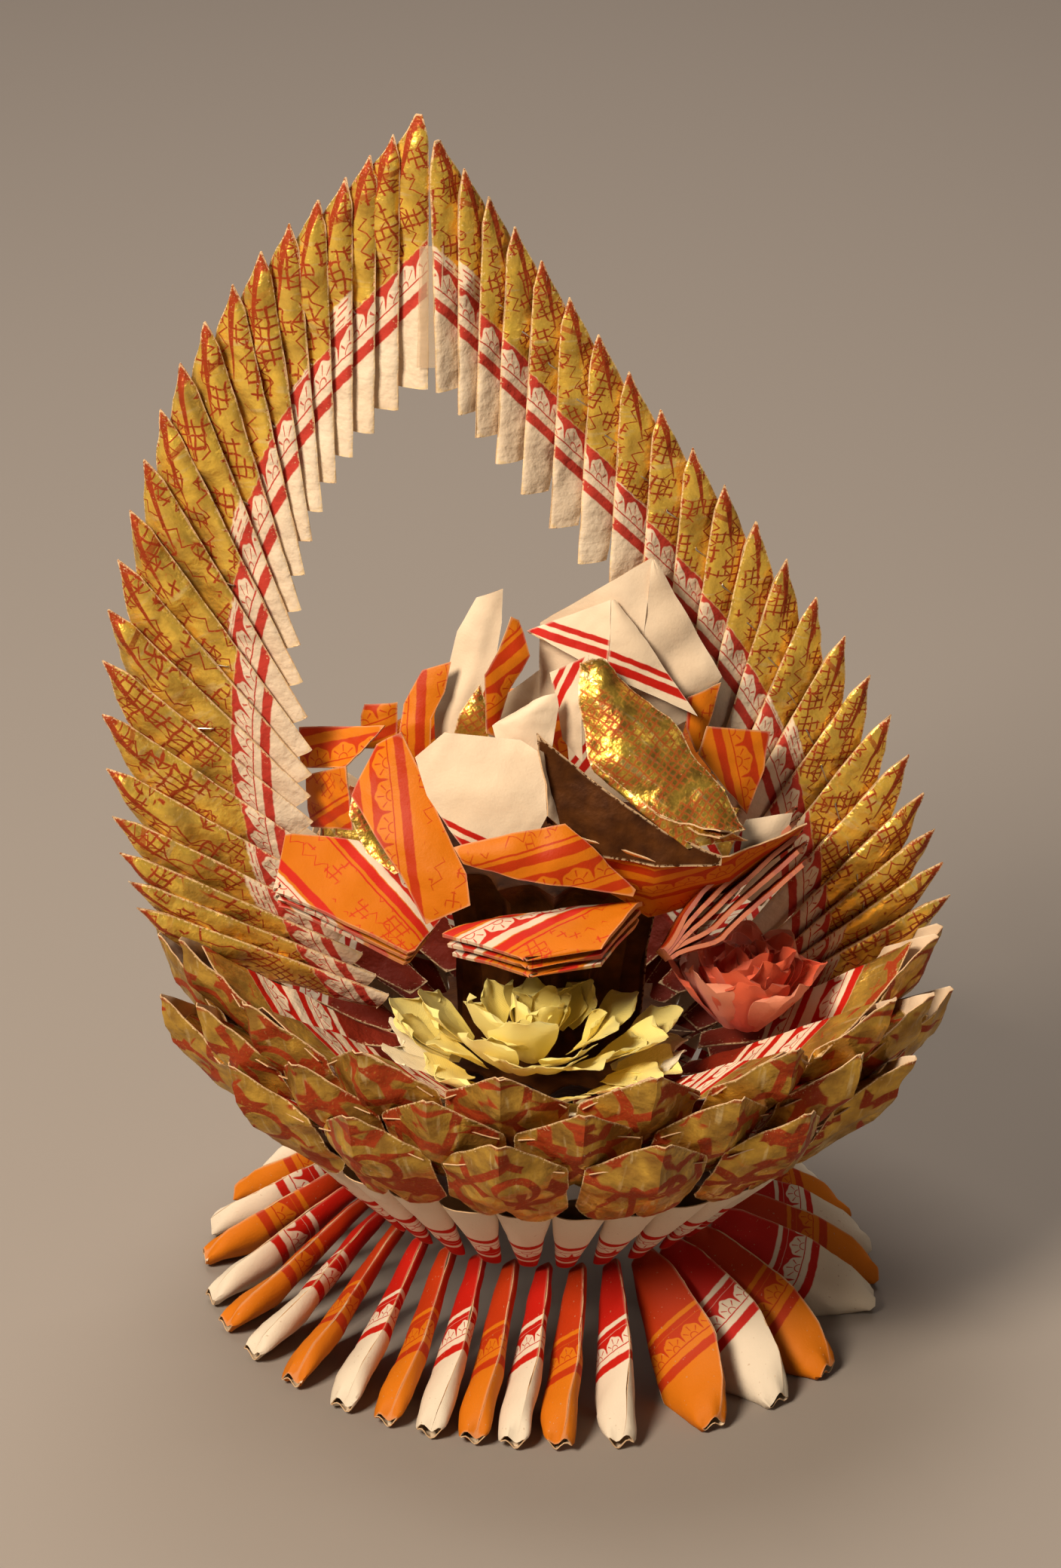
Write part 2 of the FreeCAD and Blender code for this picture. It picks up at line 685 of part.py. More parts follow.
ORANGE = [
    ("orange_upright", (-10, -9, 0), -15, 0, (14, 10), 3,
     [(-8, 0), (-13, 66), (-6, 92), (2, 86), (4, 60), (8, 0)]),
    ("orange_back_left", (-47, -8, 0), -50, 5, (18, 16), 4,
     [(-12, 0), (-15, 46), (-6, 62), (8, 73), (13, 50), (10, 0)]),
    ("orange_left", (-46, -42, 0), -42, 20, (37, 21), 5,
     [(-35, 16), (-32, 42), (-24, 54), (0, 35), (18, -4), (6, -14)]),
    ("orange_front_flap", (-4, -53, 0), 0, 25, (36, 36), 5,
     [(-18, 0), (-34, 18), (7, 30), (34, 10), (18, 0)]),
    ("orange_bowl_petal", (26, -43, 0), 10, 15, (35, 39), 5,
     [(-22, 0), (-31, 25), (-34, 52), (8, 31), (26, 18), (18, 0)]),
    ("orange_dart", (52, -10, 0), 30, 5, (12, 32), 3,
     [(-6, 0), (-4, 40), (6, 53), (30, 46), (20, 20), (4, 0)]),
    ("orange_tray", (37, -49, 3), 37, 35, (12, 70), 6,
     [(-8, -4), (-8, 16), (20, 10), (66, 20), (60, 10), (12, -4)]),
    ("orange_left_roof", (-59.5, 8, -6), -90, 30, (24, 16), 5,
     [(-18, -6), (-20, 34), (-8, 48), (10, 46), (14, 10), (10, -6)]),
]
CREAM += [
    ("cream_back_left", (-22, 26, 0), 160, 4, (30, 26), 4, [(-22, 0), (-26, 30), (-4, 62), (22, 40), (18, 0)]),
    ("cream_back_right", (26, 28, 0), -160, 4, (30, 30), 4, [(-20, 0), (-28, 34), (2, 74), (26, 36), (20, 0)]),
]
ORANGE += [
    ("orange_back_flap", (0, 46, 0), 180, 24, (36, 36), 5, [(-18, 0), (-34, 24), (0, 44), (34, 20), (18, 0)]),
    ("orange_back_wing", (-35.6, 46.1, 0), -140, 24, (30, 30), 5, [(-16, 0), (-28, 26), (0, 48), (26, 22), (14, 0)]),
    ("orange_back_tail", (35.6, 46.1, 0), 140, 24, (30, 30), 5, [(-14, 0), (-26, 24), (0, 40), (28, 26), (16, 0)]),
]
cream = [petal(*row) for row in CREAM]
orange = [petal(*row) for row in ORANGE]
keep(gather("rose_petals_cream", cream), "rose_petals_cream")
keep(gather("rose_petals_orange", orange), "rose_petals_orange")


# The gold petal is a boat: two panels that meet in a crease falling to the right.
def gold_boat():
    body = new_body("gold_boat")
    paper = "Sizes.petal_paper"
    band = draw(body, "XY_Plane", "boat_band", [[
        (0, 0),
        (rose_length(40), rose_length(14)),
        (rose_length(40), "%s + %s" % (rose_length(14), paper)),
        ("2 * Sizes.petal_paper", "1.6 * Sizes.petal_paper"),
        (rose_length(-10), "%s + %s" % (rose_length(14), paper)),
        (rose_length(-10), rose_length(14)),
    ]])
    pad(body, band, rose_length(70), midplane=False)
    trim = draw(body, "XZ_Plane", "boat_trim", [[
        (rose_length(-12), rose_length(-5)),
        (rose_length(45), rose_length(-5)),
        (rose_length(45), rose_length(75)),
        (rose_length(-12), rose_length(75)),
    ], [
        (rose_length(-9), rose_length(6)),
        (rose_length(20), rose_length(0.5)),
        (rose_length(39), rose_length(8)),
        (rose_length(24), rose_length(40)),
        (rose_length(4), rose_length(69)),
        (rose_length(-4), rose_length(62)),
    ]])
    cut_through(body, trim)
    along = Vector(59, -7, -32).normalize()
    up = Vector(0, 0.28, 1)
    up = (up - along * up.dot(along)).normalize()
    body.Placement = Placement(Vector(9, -30.5, size("rose_floor") + 49.5), Rotation(up, along.cross(up), along, "ZXY"))
    return body


boat = gold_boat()
keep(gather("rose_gold", [core, boat]), "rose_gold")


# Leaves are stacks of pleats that stay joined at the hinge end.
def leaf_stack(name, corner, outward, normal, outline, pleats=3):
    body = new_body(name)
    plan = draw(body, "XY_Plane", name + "_plan", [[(rose_length(x), rose_length(y)) for x, y in outline]])
    pad(body, plan, "Sizes.leaf_thick")
    pitch = "((Sizes.leaf_thick - Sizes.leaf_paper) / %d)" % (pleats - 1)
    slots = []
    for i in range(pleats - 1):
        low = "-0.5 * Sizes.leaf_thick + Sizes.leaf_paper + %d * %s" % (i, pitch)
        high = "-0.5 * Sizes.leaf_thick + %d * %s" % (i + 1, pitch)
        slots.append([(5, low), (rose_length(130), low), (rose_length(130), high), (5, high)])
    gaps = draw(body, "XZ_Plane", name + "_gaps", slots)
    cut_through(body, gaps)
    corner.z += size("rose_floor")
    z_axis = normal.normalize()
    x_axis = (outward - z_axis * outward.dot(z_axis)).normalize()
    body.Placement = Placement(corner, Rotation(x_axis, z_axis.cross(x_axis), z_axis, "ZXY"))
    return body


keep(leaf_stack("rose_leaves_left", Vector(-46.9, -23.3, -13.3), Vector(-0.9, -0.44, 0), Vector(0.206, -0.45, 0.869),
                [(0, -12), (53, -31), (66, -7), (24, 34), (0, 14)]), "rose_leaves_left")
keep(leaf_stack("rose_leaves_front", Vector(-3, -46.9, -13.5), Vector(0, -1, 0), Vector(-0.158, -0.239, 0.958),
                [(0, -18), (0, 30), (6, 38), (30, 21), (31, -8), (13, -40)]), "rose_leaves_front")
keep(leaf_stack("rose_leaves_right", Vector(43, -45, -29.5), Vector(0.69, 0.40, 0.53), Vector(-0.687, 0.29, 0.626),
                [(0, -10), (0, 12), (72, 14), (78, 0), (70, -14)]), "rose_leaves_right")


# ---------------------------------------------------------------- fabric flowers
yellow = turned_form("yellow_flower", [
    (0, 0),
    (8, 0.3),
    ("0.25 * Sizes.yellow_diameter", 9),
    ("0.5 * Sizes.yellow_diameter", 25),
    ("0.5 * Sizes.yellow_diameter", 28),
    ("0.25 * Sizes.yellow_diameter", 36),
    (0, 38),
])
yellow.Placement = Placement(Vector(-5, -53, size("tier_height") - 32), Rotation())
notch = yellow.newObject("Sketcher::SketchObject", "yellow_notch")
notch.AttachmentSupport = [(next(f for f in yellow.Origin.OriginFeatures if f.Role == "XY_Plane"), "")]
notch.MapMode = "FlatFace"
circle = notch.addGeometry(Part.Circle(Vector(5, 53, 0), Vector(0, 0, 1), 40.8), False)
notch.addConstraint(Sketcher.Constraint("DistanceX", -1, 1, circle, 3, 5))
notch.addConstraint(Sketcher.Constraint("DistanceY", -1, 1, circle, 3, 53))
notch.addConstraint(Sketcher.Constraint("Radius", circle, 40.8))
cut_through(yellow, notch)
keep(yellow, "yellow_flower")

red = turned_form("red_flower", [
    (0, 0),
    (6, 0),
    ("0.5 * Sizes.red_diameter", 26),
    ("0.46 * Sizes.red_diameter", 38),
    ("0.25 * Sizes.red_diameter", 47),
    (0, 47),
])
spread = size("tier_radius") / RAIL_BOWL_RADIUS
red.Placement = Placement(Vector(76.2 * spread, -25.6 * spread, size("tier_height") - 26.2), Rotation())
keep(red, "red_flower")

# ---------------------------------------------------------------- origin, check and write
doc.recompute()
overall = FreeCAD.BoundBox()
for node in nodes:
    overall.add(node.Shape.BoundBox)
to_middle = Placement(Vector(-overall.Center.x, -overall.Center.y, 0), Rotation())
for node in nodes:
    node.Placement = to_middle.multiply(node.Placement)
doc.recompute()
for item in doc.Objects:
    if "Invalid" in item.State or "Error" in item.State:
        raise RuntimeError("%s is not valid: %s" % (item.Label, item.State))
os.makedirs("parts", exist_ok=True)
for node in nodes:
    shape = node.Shape
    if shape.isNull() or not shape.isValid() or not shape.Solids:
        raise RuntimeError("%s has no valid solid" % node.Label)
    shape.exportStep("parts/%s.step" % node.Label)
    print("%-20s %3d solids %9.0f mm3" % (node.Label, len(shape.Solids), shape.Volume))
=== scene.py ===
import bpy, math
from functools import partialmethod
import numpy as np
from mathutils import Matrix, Vector


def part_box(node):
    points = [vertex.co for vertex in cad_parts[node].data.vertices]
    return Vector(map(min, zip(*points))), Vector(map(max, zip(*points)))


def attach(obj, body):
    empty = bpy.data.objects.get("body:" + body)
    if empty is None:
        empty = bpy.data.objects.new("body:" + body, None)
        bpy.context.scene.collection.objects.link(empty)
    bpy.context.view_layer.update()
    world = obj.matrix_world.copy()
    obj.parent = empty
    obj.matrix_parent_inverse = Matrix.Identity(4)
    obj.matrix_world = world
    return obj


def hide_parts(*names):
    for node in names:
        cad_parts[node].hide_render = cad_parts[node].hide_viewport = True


# Looks of the folded-paper flower basket.  Shapes are worked out in millimetres and written in metres.
# Every sheet of paper is a grid of points with print coordinates, so a print follows the folds.

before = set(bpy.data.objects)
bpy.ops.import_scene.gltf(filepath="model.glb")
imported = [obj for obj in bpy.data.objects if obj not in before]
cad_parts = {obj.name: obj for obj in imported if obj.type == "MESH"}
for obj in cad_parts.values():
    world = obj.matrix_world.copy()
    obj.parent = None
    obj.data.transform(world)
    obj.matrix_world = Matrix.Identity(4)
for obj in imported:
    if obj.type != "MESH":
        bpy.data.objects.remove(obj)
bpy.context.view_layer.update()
MM = 0.001
PRINT_UNIT = 100      # millimetres of print to one unit of its coordinates
SHARP_FOLD = 38       # folds sharper than this many degrees stay sharp
GOLDEN = 0.618034
norm = np.linalg.norm
scene = bpy.context.scene


# -------- places of the CAD solids
# Shapes are worked out about the upright axis of the bowl, which stands in the ring of base cones.
AXIS = np.array(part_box("bowl_base_cones")).mean(0) * [1000, 1000, 0]


def solids(node):
    """The separate solids of a CAD node, each as an array of its corners in millimetres."""
    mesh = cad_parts[node].data
    points = np.array([v.co for v in mesh.vertices]) * 1000 - AXIS
    group = list(range(len(points)))

    def root(i):
        while group[i] != i:
            group[i] = group[group[i]]
            i = group[i]
        return i

    seen = {}
    for i, point in enumerate(points):
        group[root(i)] = root(seen.setdefault(tuple(np.round(point, 2)), i))
    for polygon in mesh.polygons:
        for v in polygon.vertices[1:]:
            group[root(v)] = root(polygon.vertices[0])
    parts = {}
    for i in range(len(points)):
        parts.setdefault(root(i), []).append(points[i])
    return [np.array(part) for part in parts.values()]


def spread(i, shift=0.0, step=GOLDEN):
    """A number between 0 and 1 for sheet i, well away from those of its neighbours."""
    return (i * step + shift) % 1.0


def in_rows(count, low=0, high=1):
    return np.linspace(low, high, count)[:, None]


def in_columns(count, low=0, high=1):
    return np.linspace(low, high, count)[None, :]


def stacked(*values):
    """Arrays side by side in a new last axis, each spread to the shape of them all."""
    return np.stack(np.broadcast_arrays(*values), -1)


def unit(vector):
    vector = np.asarray(vector, float)
    return vector / norm(vector)


class Place:
    """A local frame in millimetres.  place(x, y, z) gives points of the row frame."""

    def __init__(self, origin, x, y, z):
        self.origin = np.asarray(origin, float)
        self.axes = np.array([unit(x), unit(y), unit(z)])

    def __call__(self, x, y, z):
        return self.origin + stacked(x, y, z) @ self.axes


def unit_place(points):
    """A gold unit: origin at its tip, X outwards, Z up."""
    top = points[points[:, 2] > points[:, 2].max() - 0.5]
    out = unit([top[:, 0].mean(), top[:, 1].mean(), 0])
    origin = out * (top @ out).max() + [0, 0, top[:, 2].max()]
    return Place(origin, out, np.cross([0, 0, 1], out), [0, 0, 1])


def cone_place(points):
    """A base cone: origin on its outer rim, X down to its point, Z out of the bowl."""
    middle = points.mean(0)
    out = unit([middle[0], middle[1], 0])
    reach = points @ out
    rim = out * reach.max() + [0, 0, points[reach > reach.max() - 0.3][:, 2].mean()]
    low = points[points[:, 2] < points[:, 2].min() + 0.3]
    point = out * (low @ out).max() + [0, 0, points[:, 2].min()]
    x = unit(point - rim)
    y = np.cross([0, 0, 1], out)
    return Place(rim, x, y, np.cross(x, y)), norm(point - rim)


def foot_place(points):
    """A foot cone: origin under the end of its toe, X outwards along the floor."""
    root = points[points[:, 2] > points[:, 2].max() - 2].mean(0)
    heel = points[points[:, 2] < 1].mean(0)
    out = unit([heel[0] - root[0], heel[1] - root[1], 0])
    side = np.cross([0, 0, 1], out)
    origin = heel + out * ((points - heel) @ out).max()
    origin[2] = 0
    return Place(origin, out, side, [0, 0, 1])


ARCH_MIDDLE = np.array([-20, 0, 240])


def blade_place(points):
    """A handle blade: origin at the root of its spine, X to the tip, Y across, Z to the front."""
    middle = points.mean(0)
    normal = np.linalg.svd(points - middle)[2][2]
    if normal[1] > 0:
        normal = -normal
    flat = points - np.outer((points - middle) @ normal, normal)
    tip = flat[np.argmax(norm(flat - ARCH_MIDDLE, axis=1))]
    reach = norm(flat - tip, axis=1)
    ends = flat[reach > reach.max() - 1.2]
    second = ends[np.argmax(norm(ends - ends[0], axis=1))]
    first = ends[np.argmax(norm(ends - second, axis=1))]
    for spine, other in ((first, second), (second, first)):
        across = unit(other - spine)
        if ((flat - spine) @ across).min() > -1:
            break
    along = (tip - spine) - across * ((tip - spine) @ across)
    length = norm(along)
    return Place(spine, along, across, normal), length


# -------- sheets
def waves(points, amount, scale, seed):
    """Smooth small unevenness: a sum of waves in random directions."""
    random = np.random.default_rng(seed)
    total = 0
    for _ in range(6):
        direction = unit(random.normal(size=3)) * 2 * math.pi / (scale * random.uniform(0.6, 1.6))
        total = total + np.sin(points @ direction + random.uniform(0, 6.28))
    return amount * total / 2.4


def normals(points):
    across = np.cross(np.gradient(points, axis=0), np.gradient(points, axis=1))
    length = norm(across, axis=2, keepdims=True)
    mean = unit(across.sum((0, 1)))
    return np.where(length > 1e-6, across / np.maximum(length, 1e-6), mean)


def smooth(values, low, high):
    t = np.clip((values - low) / (high - low), 0, 1)
    return t * t * (3 - 2 * t)


def add(name, data):
    thing = bpy.data.objects.new(name, data)
    scene.collection.objects.link(thing)
    return thing


class Piece:
    """One piece made of thin sheets.  Material 0 is the printed side, 1 the other side, 2 the cut edge."""

    def __init__(self, name):
        self.name = name
        self.points = []
        self.faces = []
        self.sides = []
        self.prints = []
        self.edges = []
        self.seeds = []
        self.count = 0

    def sheet(self, points, prints, toward, thick=0.35, seed=0.0, uneven=0.2, scale=22.0,
              sides=(0, 1, 2)):
        """Adds one sheet: a grid of points, its print coordinates, and the way its printed side faces."""
        points = np.asarray(points, float)
        rows, columns = points.shape[:2]
        way = normals(points)
        points = points + way * (waves(points, uneven, scale, int(seed * 9973) + 1)
                                 + waves(points, uneven * 0.3, scale / 3.5, int(seed * 7919) + 5))[..., None]
        way = normals(points)
        flip = (way * np.asarray(toward, float)).sum() < 0
        if flip:
            way = -way
        reach = np.minimum.reduce([
            norm(points - points[:1], axis=2), norm(points - points[-1:], axis=2),
            norm(points - points[:, :1], axis=2), norm(points - points[:, -1:], axis=2)])
        half = way * thick / 2
        both = np.concatenate([(points + half).reshape(-1, 3), (points - half).reshape(-1, 3)])
        size = rows * columns
        index = np.arange(size).reshape(rows, columns) + self.count
        quads = np.stack([index[:-1, :-1], index[1:, :-1], index[1:, 1:], index[:-1, 1:]], -1)
        quads = quads.reshape(-1, 4)
        if flip:
            quads = quads[:, ::-1]
        loop = np.concatenate([index[0, :], index[1:, -1], index[-1, -2::-1], index[-2::-1, 0]])
        rim = np.stack([loop[:-1], loop[:-1] + size, loop[1:] + size, loop[1:]], -1)
        if not flip:
            rim = rim[:, ::-1]
        self.points.append(both)
        self.faces += [quads, quads[:, ::-1] + size, rim]
        self.sides += [np.full(len(faces), side) for faces, side in zip((quads, quads, rim), sides)]
        self.prints.append(np.tile(np.asarray(prints, float).reshape(-1, 2), (2, 1)))
        self.edges.append(np.tile(reach.reshape(-1), 2))
        self.seeds.append(np.full(2 * size, seed))
        self.count += 2 * size

    def finish(self, materials, nodes):
        mesh = bpy.data.meshes.new(self.name)
        faces = np.concatenate(self.faces)
        mesh.from_pydata(((np.concatenate(self.points) + AXIS) * MM).tolist(), [], faces.tolist())
        prints = np.concatenate(self.prints)[faces.reshape(-1)] / PRINT_UNIT
        mesh.uv_layers.new(name="print").data.foreach_set("uv", prints.astype(np.float32).reshape(-1))
        for name, values in (("edge", self.edges), ("seed", self.seeds)):
            layer = mesh.attributes.new(name, "FLOAT", "POINT")
            layer.data.foreach_set("value", np.concatenate(values).astype(np.float32))
        mesh.polygons.foreach_set("material_index", np.concatenate(self.sides).astype(np.int32))
        mesh.polygons.foreach_set("use_smooth", np.ones(len(faces), bool))
        for material in materials:
            mesh.materials.append(material)
        mesh.validate()
        mesh.set_sharp_from_angle(angle=math.radians(SHARP_FOLD))
        piece = add(self.name, mesh)
        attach(piece, "root")
        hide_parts(*nodes)


# -------- materials
class Number:
    """A value in a node tree that can be written as plain arithmetic."""

    def __init__(self, paint, socket):
        self.paint = paint
        self.socket = socket

    def math(self, operation, *others, clamp=False):
        node = self.paint.node("Math")
        node.operation = operation
        node.use_clamp = clamp
        for slot, value in zip(node.inputs, (self,) + others):
            self.paint.feed(slot, value)
        return Number(self.paint, node.outputs[0])

    __add__ = __radd__ = partialmethod(math, "ADD")
    __sub__ = partialmethod(math, "SUBTRACT")
    __mul__ = __rmul__ = partialmethod(math, "MULTIPLY")
    __truediv__ = partialmethod(math, "DIVIDE")
    size = partialmethod(math, "ABSOLUTE")
    part = partialmethod(math, "FRACT")
    either = partialmethod(math, "MAXIMUM")

    def __rsub__(self, other):
        return (self * -1) + other

    def above(self, level, soft):
        """0 below the level and 1 above it, with a soft step."""
        return ((self - level) / soft).math("ADD", 0.5, clamp=True)

    def within(self, low, high, soft=0.35):
        return self.above(low, soft) * (1 - self.above(high, soft))


class Paint:
    """A procedural material built around one Principled shader."""

    def __init__(self, name):
        self.material = bpy.data.materials.new(name)
        self.material.use_nodes = True
        self.tree = self.material.node_tree
        self.link = self.tree.links.new
        self.shader = self.tree.nodes["Principled BSDF"]
        layer = self.node("UVMap")
        layer.uv_map = "print"
        self.uv = layer.outputs[0]
        split = self.node("SeparateXYZ")
        self.link(self.uv, split.inputs[0])
        self.u = Number(self, split.outputs[0]) * PRINT_UNIT
        self.v = Number(self, split.outputs[1]) * PRINT_UNIT
        self.edge = self.attribute("edge")
        self.seed = self.attribute("seed")
        place = self.node("TexCoord")
        self.place = place.outputs["Object"]

    def node(self, kind, **values):
        node = self.tree.nodes.new("ShaderNode" + kind)
        for name, value in values.items():
            self.feed(node.inputs[name], value)
        return node

    def attribute(self, name):
        node = self.node("Attribute")
        node.attribute_name = name
        return Number(self, node.outputs["Fac"])

    def feed(self, slot, value):
        if isinstance(value, Number):
            self.link(value.socket, slot)
        elif hasattr(value, "node"):
            self.link(value, slot)
        elif isinstance(value, tuple):
            slot.default_value = value if len(value) == 4 else value + (1,)
        else:
            slot.default_value = value

    def noise(self, size, detail=3.0, vector=None):
        """Noise between 0 and 1 whose grain is about `size` millimetres."""
        node = self.node("TexNoise", Scale=1000.0 / size, Detail=detail, Vector=vector or self.place)
        return Number(self, node.outputs[0])

    def wobble(self, size, amount, detail=2.0):
        """An uneven shift of up to half of `amount` either way."""
        return (self.noise(size, detail) - 0.5) * amount

    def rim(self, width, soft):
        """1 at the edge of a sheet and 0 further in."""
        return 1 - self.edge.above(width, soft)

    def cells(self, size, vector):
        """Distance to the nearest edge of an irregular cell pattern, in millimetres."""
        node = self.node("TexVoronoi", Scale=1.0 / size, Vector=vector)
        node.feature = "DISTANCE_TO_EDGE"
        return Number(self, node.outputs[0]) * size

    def vector(self, x, y, z=0.0):
        node = self.node("CombineXYZ")
        for slot, value in zip(node.inputs, (x, y, z)):
            self.feed(slot, value)
        return node.outputs[0]

    def length(self, x, y):
        return (x * x + y * y).math("SQRT")

    def mix(self, amount, first, second):
        node = self.node("Mix")
        node.data_type = "RGBA"
        self.feed(node.inputs[0], amount)
        self.feed(node.inputs[6], first)
        self.feed(node.inputs[7], second)
        return node.outputs[2]

    def set(self, **values):
        for name, value in values.items():
            self.feed(self.shader.inputs[name.replace("_", " ")], value)

    def bump(self, height, distance):
        node = self.node("Bump", Strength=1.0, Distance=distance * MM, Height=height)
        self.link(node.outputs[0], self.shader.inputs["Normal"])


RED = (0.50, 0.012, 0.005)
CREAM = (0.80, 0.60, 0.41)
WHITE = (0.80, 0.68, 0.53)
ORANGE = (0.66, 0.175, 0.006)
ORANGE_RED = (0.46, 0.035, 0.004)
GOLD = (1.0, 0.66, 0.10)
OLIVE = (0.78, 0.50, 0.09)
BRONZE = (0.36, 0.19, 0.04)
BROWN = (0.34, 0.045, 0.012)
# Painted shade of the red deep inside the bowl.
DEEP_RED_SHADE = (0.20, 0.018, 0.006)
FAINT_RED = (0.62, 0.16, 0.10)
DULL_GOLD = (0.70, 0.42, 0.07)
SCRATCH = (0.90, 0.72, 0.38)
# The dark of the foil's random blots, also used as painted shade along sheet edges.
TARNISH_AND_SHADE = (0.30, 0.15, 0.03)
WORN_FOIL = (0.85, 0.62, 0.34)
WORN_PAPER = (0.80, 0.66, 0.50)
SPECK = (0.45, 0.28, 0.16)


def darker(colour, share):
    return tuple(c * share for c in colour)


def lines(value, period, wide):
    """Thin lines, `period` millimetres apart."""
    return 1 - (((value / period).part() - 0.5).size() * period).above(wide, 0.3)


def border(paint, level, along):
    """How red each point of the printed border is: a stripe, a thin line and suns on a red ground.
    `level` is the distance into the border in millimetres and `along` runs beside it."""
    level = level / 1.25
    stripe = level.within(0, 3.0).either(level.within(5.2, 5.6, 0.2))
    across = ((along / 12.5).part() - 0.5) * 10.0
    up = level - 5.8
    reach = paint.length(across, up)
    turn = across.math("ARCTAN2", up)
    rays = (turn * 7.0).math("COSINE")
    ground = level.within(5.8, 12.0) * (reach - 5.0 - rays * 0.22).above(0, 0.3)
    spokes = rays.above(0.90, 0.10) * reach.within(2.2, 4.4, 0.2) * level.above(5.8, 0.2)
    arc = reach.within(1.4, 1.8, 0.2) * level.above(5.8, 0.2)
    return stripe.either(ground).either(spokes * 0.9).either(arc * 0.9)


def scribble(paint, u, v, share=0.5, wide=0.36):
    """Thin drawn lines in loose patches: small lattices, zigzags and bent strokes."""
    bend = paint.wobble(12, 5)
    lean = (paint.seed * 5.1).part() - 0.5
    a = u + v * lean + bend
    b = v - u * lean - bend * 0.7
    zigzag = lines(((a / 7).part() - 0.5).size() * 8 + b, 9, wide)
    place = paint.vector(u * MM, v * MM, paint.seed * 3)
    lattice = lines(a, 3.6, wide).either(lines(b, 3.1, wide))
    lattice = lattice * paint.noise(9, 1.0, place).above(1.07 - share, 0.03)
    return lattice.either(zigzag * paint.noise(14, 1.0, place).above(1 - share, 0.04))


def gold_finish(paint, cover, ink, plain, foil=(GOLD, OLIVE), shine=0.6):
    """Foil where `cover` is 1 and plain paper where it is 0, worn at the edges, with fine scratches, random
    dark blots and painted shade along the edges.
    """
    streaks = paint.noise(2.4, 2.0, paint.vector(paint.u * MM, paint.v * MM * 0.14, paint.seed))
    blots = paint.noise(10, 4.0)
    fine = paint.noise(1.1, 2.0)
    shown = paint.mix(blots.above(0.5, 0.3), foil[0], foil[1])
    shown = paint.mix(streaks.above(0.64, 0.1) * 0.4, shown, SCRATCH)
    # Random dark blots, plus painted shade: within about 2 mm of every sheet edge and folded spine the foil
    # darkens, where parts tuck under each other.
    dark_blots_and_edge_shade = paint.noise(15, 3.0).above(0.57, 0.14) * 0.5
    dark_blots_and_edge_shade = dark_blots_and_edge_shade.either(paint.rim(1.2, 2.0) * 0.4)
    shown = paint.mix(dark_blots_and_edge_shade, shown, TARNISH_AND_SHADE)
    worn = paint.rim(0.5, 0.5) * fine.above(0.45, 0.15) * 0.85
    worn = worn.either(paint.rim(2.0, 2.5) * fine.above(0.67, 0.05) * 0.8)
    worn = worn.either(fine.above(0.77, 0.02) * 0.6)
    ink = ink * (fine.above(0.36, 0.1) * 0.3 + 0.7)
    shown = paint.mix(cover, plain, paint.mix(ink, shown, BROWN))
    shown = paint.mix(worn, shown, WORN_FOIL)
    paint.set(Base_Color=shown, Metallic=cover * (1 - ink * 0.8) * (1 - worn) * shine,
              Roughness=0.24 + blots * 0.2 + (1 - cover) * 0.3 + ink * 0.15, Specular_IOR_Level=0.1)
    paint.bump(paint.noise(6, 3.0) * 1.3 + streaks * 0.22 + paint.noise(22, 1.0) * 4.0, 1.0)
    return paint.material


def blade_print():
    """Handle blades: plain root, printed border, foil with drawn lines and a broad stroke at the tip."""
    paint = Paint("blade_print")
    u, v = paint.u, paint.v
    wobble = paint.wobble(3, 0.7)
    level = (u + v * 1.08) / 1.47 - 23.6 + (paint.seed - 0.5) * 1.2 + wobble
    red = border(paint, level, v * 1.47 + paint.seed * 57)
    start = 15.0 + (paint.seed * 7.31).part() * (paint.seed * 3.3).part().above(0.7, 0.05) * 8
    cover = (level + wobble * 2).above(start, 0.8)
    rows = ((level / 3.6).part() - 0.5).size().within(0.14, 0.30, 0.06)
    steps = (((v * 1.47 + level * 0.5) / 7.2).part() - 0.5).size().above(0.12, 0.05)
    red = red * (1 - level.above(15.2, 0.4)) + rows * steps * level.above(15.4, 0.4) * 0.9
    plain = paint.mix(red * 0.94, paint.mix(paint.noise(30, 3.0), CREAM, WHITE), RED)
    fall = (105.5 - u) / 30
    middle = fall * 6.2 + 3.0
    stroke = (1 - ((v - middle).size() - (1 - fall) * 1.6 - 0.2).above(0, 0.4)) * fall.within(0, 1, 0.05)
    tip = (u + paint.noise(4, 2.0) * 9).above(105.5, 2.0)
    short = (u + v * 0.5).within(92.6, 95.0) * v.within(0, 8) * (paint.seed * 3.7).part().above(0.5, 0.1)
    ink = stroke.either(tip).either(short * 0.8)
    thin = scribble(paint, u, v, 0.56, 0.42) * level.within(15, 50, 2.0)
    return gold_finish(paint, cover, ink.either(thin), plain)


